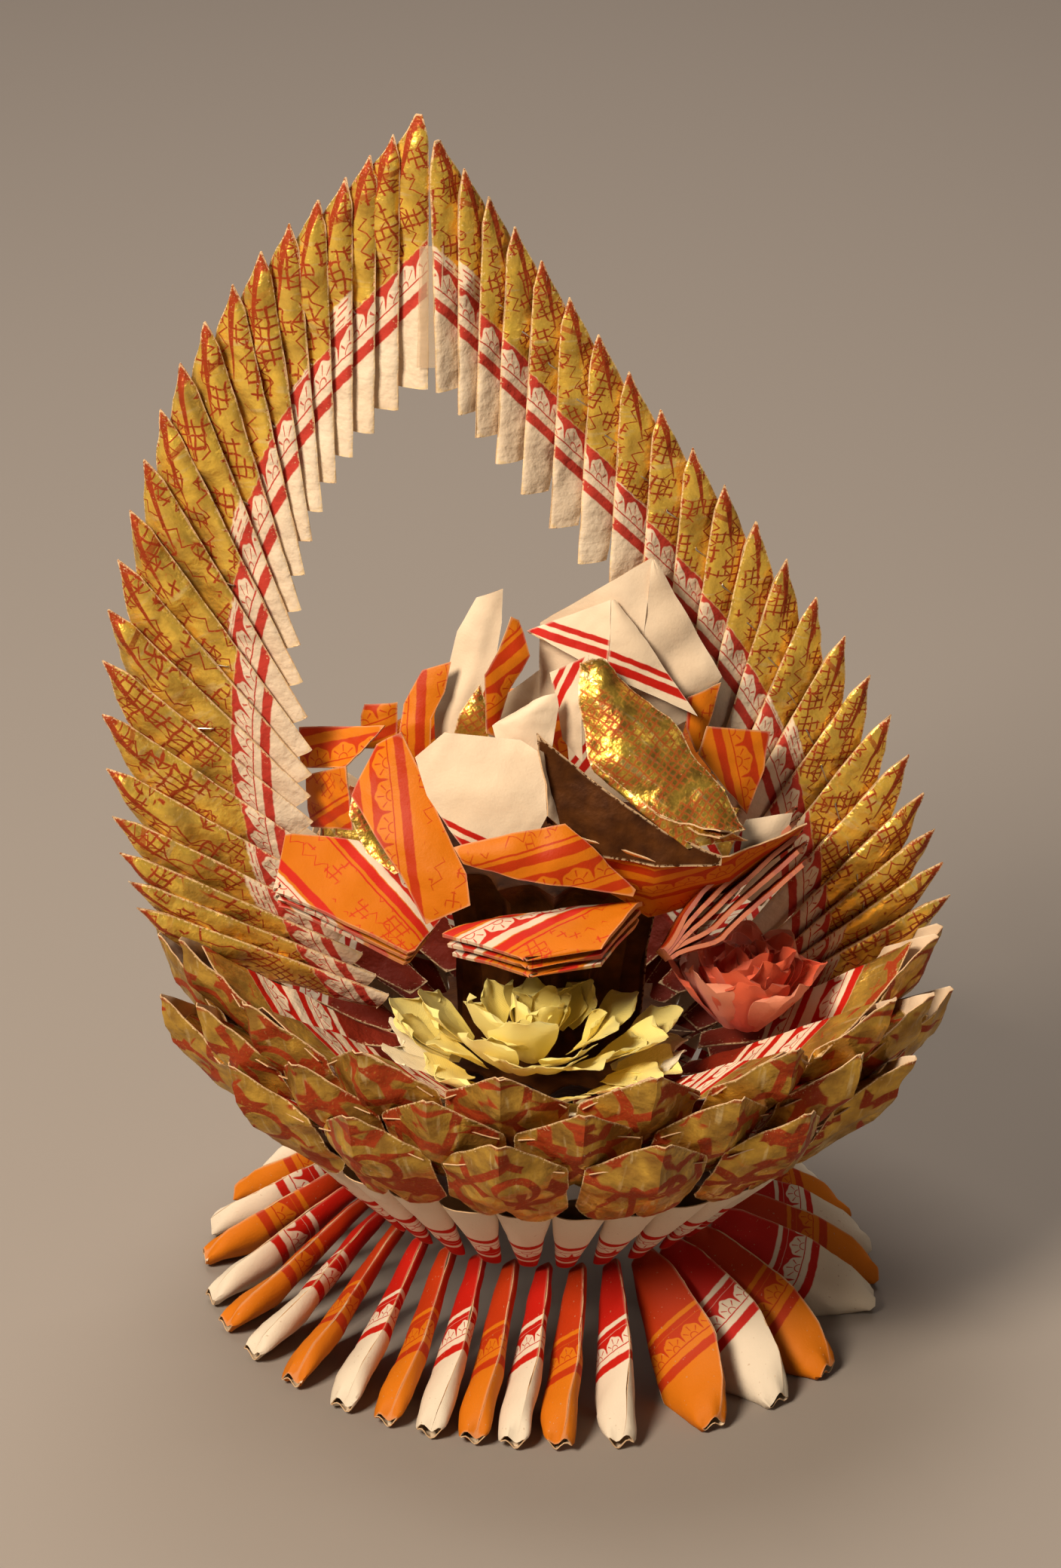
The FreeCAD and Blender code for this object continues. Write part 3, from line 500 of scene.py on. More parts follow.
def unit_print():
    """Gold units: foil with broad broken strokes, a border and pale paper towards the root; the red further
    in darkens deeper in the bowl as painted shade.
    """
    paint = Paint("unit_print")
    u, v = paint.u, paint.v
    bend = paint.wobble(26, 8, 1.0)
    place = paint.vector(u + bend, v - bend, paint.seed * 400)
    strokes = 1 - (paint.cells(17, place) - 1.7).above(0, 0.45)
    kept = paint.noise(13, 1.0, paint.vector(u * MM, v * MM, paint.seed)).above(0.44, 0.03)
    ring = (paint.length(u - 5, v - 27) - 7.5).size()
    curl = (1 - (ring - 1.6).above(0, 0.45)) * (u - v * 0.4 + 13).above(0, 0.5)
    curl = curl * (paint.seed * 2.9).part().above(0.55, 0.02)
    ink = (strokes * kept).either(curl) * v.within(4, 52, 1.0)
    ink = ink.either((1 - v.above(1.5, 1.5)) * 0.9)
    thin = scribble(paint, u, v, 0.44) * v.above(44, 2.0) * 0.8
    wobble = paint.wobble(3, 0.8)
    inner = v - 62 + wobble
    red = border(paint, inner, u + paint.seed * 31).either(border(paint, inner - 21, u + paint.seed * 17))
    red = red.either(inner.above(39, 0.5))
    # Painted shade: the solid red of the inner sheets turns darker deeper in the bowl, where the interior
    # lies in shade.
    deep = paint.mix(inner.above(38, 8.0), RED, DEEP_RED_SHADE)
    plain = paint.mix(red, paint.mix(paint.noise(30, 3.0), CREAM, WHITE), deep)
    return gold_finish(paint, 1 - inner.above(0, 1.0), ink.either(thin), plain, (DULL_GOLD, BRONZE))


def paper_finish(paint, colour, rough=0.62, wear=0.45):
    fibre = paint.noise(0.9, 3.0)
    soft = paint.noise(14, 3.0)
    shown = paint.mix(paint.rim(0.5, 0.7) * wear, colour, WORN_PAPER)
    paint.set(Base_Color=shown, Roughness=rough, Specular_IOR_Level=0.15)
    paint.bump(fibre * 0.25 + soft * 1.6, 0.4)
    return paint.material


def cone_print(name, ground, ink, start):
    """Foot and base cones: plain end, stripe, thin line, suns, then solid colour."""
    paint = Paint(name)
    level = paint.v - start + (paint.seed - 0.5) * 3 + paint.wobble(4, 0.9)
    red = border(paint, level, paint.u + paint.seed * 41)
    red = red.either(level.above(15.0, 0.5) * (1 - level.within(17.5, 19.5, 0.4)))
    base = paint.mix(paint.noise(25, 3.0) * 0.5, ground, darker(ground, 0.74))
    specks = paint.noise(1.3, 1.0).above(0.74, 0.02) * 0.5
    shown = paint.mix(specks, paint.mix(red, base, ink), SPECK)
    return paper_finish(paint, shown, wear=0.15)


def petal_print(name, ground, ink, pale):
    """Petals and leaves: broad stripes and suns beside them, a pale band, and drawn lines on the ground."""
    paint = Paint(name)
    level = ((paint.v + 8 + paint.wobble(4, 0.8)) / 46).part() * 46
    red = border(paint, level - 4, paint.u + paint.seed * 23)
    red = red.either(level.within(23, 27)).either(level.within(28.6, 29.4))
    lines = scribble(paint, paint.u, paint.v, 0.52, 0.30) * level.above(29, 1.0) * 0.85
    base = paint.mix(paint.noise(25, 3.0) * 0.5, ground, darker(ground, 0.72))
    base = paint.mix(level.within(9, 22.5, 0.5) * pale, base, WHITE)
    return paper_finish(paint, paint.mix(red.either(lines), base, ink), 0.5, 0.2)


def cream_print():
    """Cream petals: plain, with a double red stripe near one edge."""
    paint = Paint("cream_print")
    level = paint.v + paint.wobble(4, 0.7)
    red = level.within(0, 3.2).either(level.within(5.0, 7.2))
    base = paint.mix(paint.noise(25, 3.0) * 0.6, CREAM, WHITE)
    return paper_finish(paint, paint.mix(red, base, RED))


def lattice_foil():
    """The gold petal: crumpled foil with a worn red lattice."""
    paint = Paint("lattice_foil")
    bend = paint.wobble(9, 3)
    lattice = lines(paint.u + bend, 3.0, 0.42).either(lines(paint.v - bend, 2.6, 0.42))
    lattice = lattice * paint.noise(11, 2.0).above(0.44, 0.08)
    thin = scribble(paint, paint.u, paint.v, 0.4)
    cover = 1 - paint.noise(2.0, 2.0).above(0.78, 0.03)
    return gold_finish(paint, cover, lattice.either(thin) * 0.85, CREAM, (GOLD, BRONZE), 0.85)


def dark_foil_and_shade():
    """The dark side of the petal papers and of the papers below them, its near-black partly painted shade of
    the rose's hollows.
    """
    paint = Paint("dark_foil_and_shade")
    blots = paint.noise(8, 4.0)
    # Painted shade: these browns are darker than the bare foil, to stand for the shade in the rose's
    # hollows.
    colour = paint.mix(blots.above(0.5, 0.4), (0.10, 0.032, 0.007), (0.035, 0.011, 0.004))
    worn = paint.rim(0.6, 0.9) * paint.noise(1.5, 2.0).above(0.45, 0.1)
    paint.set(Base_Color=paint.mix(worn, colour, (0.6, 0.42, 0.25)), Metallic=0.3,
              Roughness=0.45 + blots * 0.15, Specular_IOR_Level=0.08)
    paint.bump(paint.noise(4, 3.0) + paint.noise(20, 1.0) * 2.5, 0.5)
    return paint.material


def inner_paper():
    """The unprinted side, with the print showing through faintly."""
    paint = Paint("inner_paper")
    red = border(paint, paint.v - 33, paint.u) * 0.35
    base = paint.mix(paint.noise(25, 3.0), CREAM, darker(CREAM, 0.8))
    return paper_finish(paint, paint.mix(red, base, FAINT_RED), 0.68)


def cut_edge():
    paint = Paint("cut_edge")
    shown = paint.mix(paint.noise(1.5, 2.0), (0.74, 0.52, 0.30), (0.50, 0.27, 0.13))
    paint.set(Base_Color=shown, Roughness=0.7)
    paint.bump(paint.noise(0.8, 2.0), 0.2)
    return paint.material


def silk(name, colour, deep):
    """Thin woven petals: paler at the rim, deeper at the base, light comes through."""
    paint = Paint(name)
    fade = paint.noise(12, 2.0) * 0.3 + paint.v / 26
    weave = (paint.u * 9).math("SINE") * (paint.v * 9).math("SINE")
    shown = paint.mix(fade.above(0.62, 0.9), deep, colour)
    paint.set(Base_Color=shown, Roughness=0.55, Subsurface_Weight=0.12, Subsurface_Scale=0.004,
              Sheen_Weight=0.1)
    paint.shader.inputs["Subsurface Radius"].default_value = (1.0, 1.0, 0.8)
    paint.bump(weave * 0.12 + paint.noise(6, 3.0), 0.35)
    return paint.material


def steel():
    paint = Paint("staple_steel")
    paint.set(Base_Color=(0.62, 0.60, 0.57), Metallic=1.0, Roughness=0.28 + paint.noise(1.0, 2.0) * 0.15)
    paint.bump(paint.noise(0.6, 2.0), 0.03)
    return paint.material


def tape_film():
    paint = Paint("clear_tape")
    haze = paint.noise(6, 3.0)
    paint.set(Base_Color=paint.mix(haze, (0.80, 0.62, 0.42), (0.70, 0.50, 0.30)),
              Roughness=0.12 + haze * 0.15, Alpha=0.22 + haze * 0.16)
    paint.bump(paint.noise(5, 3.0), 0.12)
    return paint.material


# Each list holds the printed side, the other side and the cut edge of a sheet.
EDGE = cut_edge()
INNER = inner_paper()
STEEL = steel()
BLADE = [blade_print(), INNER, EDGE]
UNIT = [unit_print(), INNER, EDGE]
BASE_CONE = [cone_print("base_cone_print", WHITE, RED, 35), INNER, EDGE]
WHITE_CONE = [cone_print("white_cone_print", WHITE, RED, 32), INNER, EDGE]
ORANGE_CONE = [cone_print("orange_cone_print", ORANGE, ORANGE_RED, 28), INNER, EDGE]
DARK_AND_SHADE = dark_foil_and_shade()
ORANGE_PETAL = [petal_print("orange_petal_print", ORANGE, ORANGE_RED, 0.0), DARK_AND_SHADE, EDGE]
LEAF = [petal_print("leaf_print", ORANGE, (0.56, 0.02, 0.008), 0.8), DARK_AND_SHADE, EDGE]
DEEP_LEAF = [petal_print("deep_leaf_print", (0.52, 0.075, 0.008), (0.36, 0.015, 0.004), 0.0), DARK_AND_SHADE, EDGE]
CREAM_PETAL = [cream_print(), DARK_AND_SHADE, EDGE]
GOLD_PETAL = [lattice_foil(), DARK_AND_SHADE, EDGE]


# -------- handle
BLADES_PER_SIDE = 22
BLADE_PRINT = 107     # length in millimetres that the print of a blade is laid out for
BLADE_STEP = 0.381966
# How much nearer to the tip the border lies, at some blades counted from the apex.
SHIFTED_BLADES = [1, 5, 12, 16, 22]
BORDER_SHIFT = {"left": [0, 4, 9, 14, 24], "right": [0, 0, 0, 4, 14]}


def blade(node, side, number, seed):
    """A handle blade: a bulging front sheet, a flat back sheet and a cap at its root."""
    place, length = blade_place(solids(node)[0])
    piece = Piece("sheet_" + node)
    bulge = 2.6 * (0.5 + seed) if side == "left" else 0.6
    reach = 2.2 if node.endswith("_01") else 0.0
    x = (length * (1 - (1 - np.linspace(0, 1, 30)) ** 1.25))[:, None]
    v = (np.linspace(0, 1, 11) ** 1.4)[None, :]
    low = np.interp(x, [0, length - 10, length], [0, 0, 2.6]) - reach
    high = np.interp(x, [0, 30, length - 40, length - 24, length - 14, length - 6, length],
                     [12, 16, 22, 16.1, 10.6, 5.5, 3.0])
    y = low + (high - low) * v
    half = np.interp(x, [0, length - 42, length - 12, length], [1.15, 1.9, 1.7, 0.5])
    rounding = np.sqrt(1 - (1 - np.clip((y - low) / 4.5, 0, 1)) ** 2)
    opening = smooth(x, length - 52, length - 38)
    closing = 1 - (1 - opening) * smooth(v, 0.7, 1.0) * 0.75
    back = half * rounding * closing
    open_tip = smooth(-x, -length, -length + 14)
    z = back + bulge * opening * np.sin(math.pi * v ** 0.8) * open_tip
    nearer = np.interp(number, SHIFTED_BLADES, BORDER_SHIFT[side])
    u = x * BLADE_PRINT / length
    prints = stacked(u + nearer * (1 - smooth(u, 45, 90)), y)
    front = place.axes[2]
    piece.sheet(place(x, y, z), prints, front, seed=seed, uneven=0.34, scale=15)
    piece.sheet(place(x, y, -back), prints, -front, seed=seed + 0.37, uneven=0.16)
    cap_y = in_rows(4, 0.3, 11.6)
    cap_z = in_columns(3, -0.9, 0.9)
    piece.sheet(place(0.25, cap_y, cap_z), np.zeros((4, 3, 2)), -place.axes[0], thick=0.2, seed=seed,
                uneven=0.0)
    piece.finish(BLADE, [node])


for side in ("left", "right"):
    for number in range(1, BLADES_PER_SIDE + 1):
        name = "handle_%s_%02d" % (side, number)
        blade(name, side, number, spread(number, 0.5 if side == "right" else 0, BLADE_STEP))


# -------- bowl
def gold_unit(piece, place, seed, inner_peak):
    """Two sheets that meet at the shoulders and the root: a gabled front that ends in two round lobes,
    and an inner one whose ridge runs down to the middle of the bowl."""
    outward = place.axes[0]
    rows = in_rows(26)
    v = in_columns(25, -1, 1)
    lobes = np.abs(np.sin(math.pi * v)) ** 0.7
    bottom = 46 + 8 * lobes
    z = -bottom * rows
    gable = np.clip(-z / 19, 0, 1)
    lower = np.clip((-z - 19) / 35, 0, 1)
    y = (2.4 + 21.6 * gable - 3.2 * lower ** 1.5) * v
    sweep = 0.58 * np.abs(y)
    x = -8 * gable - 31 * lower ** 1.25 - sweep * (1 - 0.55 * lower)
    x = x + 2.4 * np.sin(math.pi * rows) * (1 - v * v) - 3.2 * lower * (1 - lobes)
    prints = stacked(y, -z)
    piece.sheet(place(x, y, z), prints, outward, thick=0.45, seed=seed, uneven=0.8, scale=20)
    t = in_rows(22)
    v = in_columns(17, -1, 1)
    bend = np.abs(v) ** 1.1
    x = -9.0 - 10.0 * bend
    z = -inner_peak + (inner_peak - 20.0) * bend
    s = t ** 0.9
    x = x + (-91.0 - x) * s
    z = z + (-56.0 - z) * s - 12.0 * np.abs(v) * s * (1 - s)
    y = 23.0 * v * (1 - s) + 6.5 * v * s
    prints = stacked(y, 45 + t * 90)
    piece.sheet(place(x, y, z), prints, (place(0, 0, 1) - place(0, 0, 0)) - outward * 0.4,
                thick=0.45, seed=seed + 0.21, uneven=0.4, scale=26)


for tier, inner_peak in ((1, 13.0), (2, 13.0), (3, 4.0)):
    node = "bowl_tier_%d" % tier
    piece = Piece("units_%d" % tier)
    for i, points in enumerate(solids(node)):
        gold_unit(piece, unit_place(points), spread(i, tier * 0.27), inner_peak)
    piece.finish(UNIT, [node])


def tube(piece, place, x, y, z, prints, seed, uneven=0.2):
    """A closed paper tube: sections in rows, going round in columns."""
    points = place(x, y, z)
    middle = points.mean(1, keepdims=True)
    way = normals(points)
    toward = 1 if (way * (points - middle)).sum() > 0 else -1
    piece.sheet(points, prints, way * toward, thick=0.4, seed=seed, uneven=uneven)


def base_cone(piece, points, seed):
    """A half-cone whose U-shaped mouth opens under the gold units."""
    place, length = cone_place(points)
    t = in_rows(16)
    turn = in_columns(25, 0, 2 * math.pi) + math.pi
    half = 11.1 * (1 - t) + 3.6 * t
    depth = 4.5 * (1 - t) ** 0.8 + 1.2
    y = half * np.sin(turn)
    z = -depth + depth * np.cos(turn)
    x = length * t + (1 - np.cos(turn)) * 5.2 * (1 - t) + (np.abs(np.sin(turn)) - 1) * 1.6 * (1 - t)
    prints = stacked(y + 12, x)
    tube(piece, place, x, y, z, prints, seed)


piece = Piece("base_cones")
for i, points in enumerate(solids("bowl_base_cones")):
    base_cone(piece, points, spread(i))
piece.finish(BASE_CONE, ["bowl_base_cones"])


SLUMPED = (18, 62)    # headings in degrees from the front to the right


def foot_cone(piece, points, seed):
    """A flattened cone that leans to its left side, with a blunt toe pinched shut.
    The cones at the right of the front have slumped further."""
    place = foot_place(points)
    heading = math.degrees(math.atan2(place.axes[0][0], -place.axes[0][1]))
    slumped = SLUMPED[0] < heading < SLUMPED[1]
    random = np.random.default_rng(int(seed * 1000))
    t = in_rows(30)
    turn = in_columns(25, 0, 2 * math.pi)
    x = -70 + 70 * t ** 0.85
    top = np.interp(x, [-70, -58, -30, -10, -3, 0], [46, 44, 31, 18, 11, 6])
    low = np.interp(x, [-70, -50, -26, -7, -2, 0], [37.5, 20, 0.4, 0.4, 1.0, 2.8])
    half = np.interp(x, [-70, -30, -12, -4, -1, 0], [3.4, 5.4, 6.4, 6.2, 5.6, 4.8])
    up = np.cos(turn)
    y = half * np.sign(np.sin(turn)) * (1 - np.abs(up) ** 1.8) ** 0.9
    z = (top + low) / 2 + (top - low) / 2 * up
    lean = 0.75 if slumped else 0.42 + 0.12 * random.uniform(-1, 1)
    y = y + lean * (z - (top + low) / 2) + random.uniform(-2, 2) * smooth(x, -14, 0)
    z = z + 1.6 * smooth(x, -8, 0) * np.cos(y * 0.8 + random.uniform(0, 3)) * (z < 20)
    level = -x * 0.86 + z * 0.42 - y * 0.25
    prints = stacked(z + y, level)
    x = np.minimum(x + (z - 12) * 0.05, 0)
    tube(piece, place, x, y, np.clip(z, 0.3, None), prints, seed, uneven=0.3)


for node, materials, slot in (("foot_cones_white", WHITE_CONE, "white_print_paper"),
                              ("foot_cones_orange", ORANGE_CONE, "orange_print_paper")):
    piece = Piece(node.replace("foot_cones", "feet"))
    for i, points in enumerate(solids(node)):
        foot_cone(piece, points, spread(i))
    piece.finish(materials, [node])


# -------- small parts
STAPLE_WIRE = 0.27    # half the thickness of the wire


def staples():
    piece = Piece("staple_wires")
    for points in solids("staples"):
        middle = points.mean(0)
        axes = np.linalg.svd(points - middle)[2]
        half = np.abs((points - middle) @ axes[0]).max()
        front = axes[1] if abs(axes[1][1]) > abs(axes[2][1]) else axes[2]
        front = front if front[1] < 0 else -front
        path = np.array([[-half + 0.3, -0.9], [-half + 0.3, -0.2], [-half + 0.7, 0.05],
                         [half - 0.7, 0.05], [half - 0.3, -0.2], [half - 0.3, -0.9]])
        line = middle + path[:, :1] * axes[0] + path[:, 1:] * front
        side = np.cross(axes[0], front)
        turn = np.linspace(0, 2 * math.pi, 9)
        ways = np.gradient(line, axis=0)
        rows = []
        for point, way in zip(line, ways):
            up = unit(np.cross(side, way))
            rows.append(point + STAPLE_WIRE * (np.outer(np.cos(turn), up) + np.outer(np.sin(turn), side)))
        rows = np.array(rows)
        piece.sheet(rows, np.zeros(rows.shape[:2] + (2,)), normals(rows), thick=0.06, uneven=0.0,
                    sides=(0, 0, 0))
    piece.finish([STEEL], ["staples"])


def tape():
    points = solids("apex_tape")[0]
    low, high = points.min(0), points.max(0)
    s = in_rows(7)
    t = in_columns(16)
    x = low[0] + (high[0] - low[0]) * s
    y = low[1] + (high[1] - low[1]) * s
    z = low[2] + (high[2] - low[2]) * t
    grid = stacked(x, y, z)
    piece = Piece("tape")
    piece.sheet(grid, grid[..., [0, 2]], (0, -1, 0), thick=0.12, uneven=0.12, scale=12,
                sides=(0, 0, 0))
    piece.finish([tape_film()], ["apex_tape"])


staples()
tape()


# -------- rose
def slices(outline, rows, columns):
    """A grid that fills an outline: rows at equal heights, columns from its left to its right side."""
    corners = np.array(outline, float)
    low, high = corners[:, 1].min(), corners[:, 1].max()
    levels = low + (high - low) * (0.0005 + 0.999 * np.linspace(0, 1, rows))
    grid = []
    for level in levels:
        crossings = []
        for a, b in zip(corners, np.roll(corners, -1, 0)):
            if (a[1] - level) * (b[1] - level) < 0:
                crossings.append(a[0] + (b[0] - a[0]) * (level - a[1]) / (b[1] - a[1]))
        grid.append([(x, level) for x in np.linspace(min(crossings), max(crossings), columns)])
    return np.array(grid)


def filled(ends, rows, columns):
    """Pairs of points spaced evenly along a list of pairs, and the grid between them."""
    ends = np.array(ends, float)
    t = np.linspace(0, len(ends) - 1, rows)
    pairs = [np.interp(t, range(len(ends)), column) for column in ends.T]
    pairs = np.array(pairs).T.reshape(rows, 2, 3)
    v = np.linspace(0, 1, columns)[None, :, None]
    return pairs, pairs[:, :1] * (1 - v) + pairs[:, 1:] * v, v


def turned(x, z, degrees):
    """Print coordinates turned in their plane."""
    c, s = math.cos(math.radians(degrees)), math.sin(math.radians(degrees))
    return x * c + z * s, z * c - x * s


def ribbon(piece, rows, seed, turn, start, bow, crumple=0.6, inside=1):
    """A folded petal given as rows of two points, left and right, from its top edge to its bottom edge.
    `turn` and `start` lay its print: degrees and millimetres from the bottom left point."""
    pairs, grid, v = filled(rows, 25, 19)
    across = unit((pairs[:, 1] - pairs[:, 0]).sum(0))
    down = pairs[-1].mean(0) - pairs[0].mean(0)
    down = unit(down - across * (down @ across))
    front = np.cross(down, across)
    front = front if front[1] - front[2] < 0 else -front
    swell = np.sin(math.pi * np.linspace(0.1, 1, 25))[:, None, None]
    grid = grid + front * bow * np.sin(math.pi * v) * swell
    corner = np.array(rows[-1][:3], float)
    x = (grid - corner) @ across
    z = (grid - corner) @ -down
    u, v = turned(x, z, turn)
    prints = stacked(u, v - start)
    piece.sheet(grid, prints, front, thick=0.6, seed=seed, uneven=crumple, scale=24, sides=(0, inside, 2))


# Petals: rows of x, y, z at the left and at the right, then the turn, start and bow of ribbon().
CREAM_RIBBONS = [
    # back roof, its left and right faces
    ([(-9, 0, 289, 33, -3, 319), (-9, 0, 272, 31, -5, 287), (-8, -2, 255, 31, -7, 259)], 0, 60, 1),
    ([(33, -3, 319, 34, -3, 318), (31, -5, 287, 51, 0, 288), (31, -7, 259, 62, 0, 269),
      (34, -7, 244, 53, -2, 253)], 62, -32, 1),
    # front roof
    ([(-14, -2, 286, 18, -6, 302), (-13, -4, 286, 18, -12, 288),
      (-11, -6, 286, 17, -16, 275)], -14, 0, 0),
    ([(18, -6, 302, 19, -6, 302), (18, -12, 288, 36, -10, 281), (17, -16, 275, 53, -14, 258)], 0, 2, 1),
    # torn petal, front petal and its fold, small upper petal, striped petal, petal at the right
    ([(-34, 6, 296, -24, 6, 300), (-41, 5, 282, -24, 4, 287), (-45, 2, 265, -26, 0, 271),
      (-49, -2, 249, -32, -4, 255), (-46, -6, 215, -30, -8, 215)], 0, 90, 2),
    ([(-44, -44, 261, -15, -44, 259), (-55, -46, 251, -8, -46, 255), (-50, -50, 237, -5, -50, 243),
      (-41, -52, 224, -4, -52, 231), (-33, -54, 214, -12, -54, 214)], -30, 2, 2),
    ([(-8, -46, 256, -6, -44, 254), (-5, -50, 243, -3, -46, 237),
      (-4, -52, 231, 2, -48, 224)], 0, 60, 0),
    ([(-11, -26, 267, -2, -26, 271), (-26, -30, 258, -1, -28, 266),
      (-23, -34, 250, -3, -34, 250)], 0, 60, 3),
    ([(-5, -14, 274, 10, -16, 283), (-1, -18, 262, 8, -22, 266), (1, -22, 250, 9, -24, 241)], 60, 6, 1),
    ([(73, -32, 223, 91, -22, 222), (69, -38, 217, 89, -25, 217),
      (66, -44, 211, 86, -28, 212)], 70, -6, 1),
    # two petals at the back
    ([(-30, 30, 238, 0, 34, 262), (-40, 28, 225, -2, 30, 235), (-38, 24, 203, -4, 26, 203)], -50, 2, 3),
    ([(4, 34, 262, 30, 30, 274), (2, 30, 236, 50, 26, 240), (6, 26, 203, 44, 22, 203)], 50, 2, 3),
]
ORANGE_RIBBONS = [
    # upright petal, petal at the back left, the big petal and its lining
    ([(-20, -12, 296, -17, -10, 294), (-25, -18, 284, -13, -14, 281), (-30, -22, 276, -21, -18, 267),
      (-28, -24, 252, -25, -22, 250)], 60, 5, 1),
    ([(-54, -4, 269, -43, -4, 273), (-61, -8, 256, -45, -8, 262), (-62, -12, 246, -50, -12, 252),
      (-56, -14, 230, -50, -14, 230)], 70, 0, 1),
    ([(-71, -26, 247, -61, -30, 254), (-79, -34, 228, -53, -36, 240), (-70, -46, 218, -43, -46, 221),
      (-59, -55, 205, -34, -56, 207), (-49, -60, 187, -32, -60, 196)], 86, 4, 2),
    # outer side of the dark bowl, flap in front of it
    ([(3, -50, 224, 10, -34, 196), (38, -58, 216, 37, -30, 179), (67, -50, 215, 67, -26, 188),
      (97, -28, 220, 90, -12, 201)], 80, 0, 2),
    ([(-39, -58, 219, -35, -60, 214), (-17, -58, 226, -14, -64, 209), (3, -56, 230, 10, -62, 206),
      (31, -58, 204, 30, -60, 202)], 86, 6, 3),
    # dart and flap at the right
    ([(49, -6, 262, 62, -2, 267), (49, -8, 250, 59, -4, 254), (53, -8, 240, 56, -6, 243)], 60, 8, 1),
    ([(57, -10, 252, 82, -4, 248), (54, -14, 242, 80, -8, 233),
      (66, -18, 228, 74, -14, 217)], -60, 4, 1),
    # roof at the left, its top and its side, and the crumpled tip
    ([(-102, 12, 236, -68, -4, 245), (-102, 10, 227, -76, -6, 236),
      (-102, 8, 220, -83, -8, 228)], 10, -4, 1),
    ([(-99, 4, 219, -82, -12, 231), (-98, 4, 208, -81, -16, 220),
      (-96, 4, 197, -79, -20, 207)], 15, -18, 1),
    ([(-77, 18, 244, -64, 16, 246), (-78, 18, 239, -64, 16, 241),
      (-78, 16, 226, -64, 14, 227)], 20, 5, 2),
    # three petals at the back
    ([(-28, 64, 232, 28, 64, 236), (-32, 56, 215, 32, 56, 216), (-18, 46, 202, 18, 46, 202)], 20, 0, 3),
    ([(-72, 34, 226, -30, 76, 232), (-66, 26, 214, -24, 64, 216),
      (-50, 30, 202, -26, 50, 202)], 30, 4, 3),
    ([(30, 76, 230, 72, 34, 228), (24, 64, 216, 66, 26, 214), (26, 50, 202, 50, 30, 202)], -30, 4, 3),
]
for name, ribbons, materials, slot in (("cream", CREAM_RIBBONS, CREAM_PETAL, "cream_print_paper"),
                                       ("orange", ORANGE_RIBBONS, ORANGE_PETAL, "orange_print_paper")):
    piece = Piece("petals_" + name)
    for i, (rows, turn, start, bow) in enumerate(ribbons):
        printed = name == "cream" or rows[0][1] > 30
        ribbon(piece, rows, spread(i), turn, start, bow, inside=0 if printed else 1)
    piece.finish(materials, ["rose_petals_" + name])

# Gold papers: their rows, then the seed, bow and crumple of ribbon().
GOLD_RIBBONS = [
    # the crumpled gold petal and its under side
    ([(7, -22, 282, 15, -22, 284), (7, -30, 268, 29, -24, 272), (11, -40, 250, 43, -28, 260),
      (38, -52, 233, 59, -36, 241), (62, -60, 228, 73, -46, 226)], 0.31, 5, 1.3),
    ([(11, -40, 250, 14, -42, 246), (38, -52, 233, 50, -58, 222),
      (62, -60, 230, 73, -47, 222)], 0.44, 1, 1.0),
    # gold slivers between the petals at the left
    ([(-32, -16, 269, -31, -16, 269), (-39, -20, 258, -28, -20, 260),
      (-43, -22, 240, -27, -22, 240)], 0.52, 1, 0.6),
    ([(-79, -32, 229, -73, -30, 233), (-80, -36, 221, -68, -36, 218), (-73, -44, 209, -61, -44, 208),
      (-62, -50, 203, -58, -50, 205)], 0.64, 1, 0.6),
]
DARK_BOWL = [(-9, -40, 260, -4, -46, 226), (10, -46, 246, 11, -52, 216), (40, -54, 228, 38, -58, 214),
             (63, -60, 220, 63, -60, 216)]
GOLD_TURN = 30
piece = Piece("rose_heart")
for rows, seed, bow, crumple in GOLD_RIBBONS:
    ribbon(piece, rows, seed, GOLD_TURN, 0, bow, crumple)
# The dark bowl, a cupped petal with dark foil on both sides; its near-black is partly painted shade of the
# petal's hollow inside.
grid = filled(DARK_BOWL, 24, 15)[1]
piece.sheet(grid, grid[..., [0, 2]], (0, -1, 0.2), thick=0.9, seed=0.7, uneven=0.9, scale=26,
            sides=(1, 1, 2))


HEART_PROFILE = [(24, 92.3), (59, 113.3), (36.5, 114), (38, 150), (44, 188), (56.6, 199.2), (50, 199.8),
                 (0.5, 199.8)]


def heart():
    """The folded papers that carry the petals: pleats round a drum that widens to a flat top, dark foil on
    both sides, partly their own brown and partly painted shade under the leaves.
    """
    turn = in_columns(97, 0, 2 * math.pi)
    spans = zip(HEART_PROFILE[:-1], HEART_PROFILE[1:])
    steps = np.concatenate([np.linspace(a, b, 6)[:-1] for a, b in spans] + [HEART_PROFILE[-1:]])
    r, z = steps[:, :1], steps[:, 1:]
    ripple = 1 - 0.16 * np.abs(np.sin(turn * 8)) * smooth(r, 10, 35)
    grid = stacked(r * ripple * np.cos(turn), r * ripple * np.sin(turn), z)
    way = normals(grid)
    outward = 1 if (way * (grid - [0, 0, 160])).sum() > 0 else -1
    prints = stacked(turn * 30, z)
    piece.sheet(grid, prints, way * outward, thick=0.5, uneven=0.3, sides=(1, 1, 2))


heart()
piece.finish(GOLD_PETAL, ["rose_gold"])


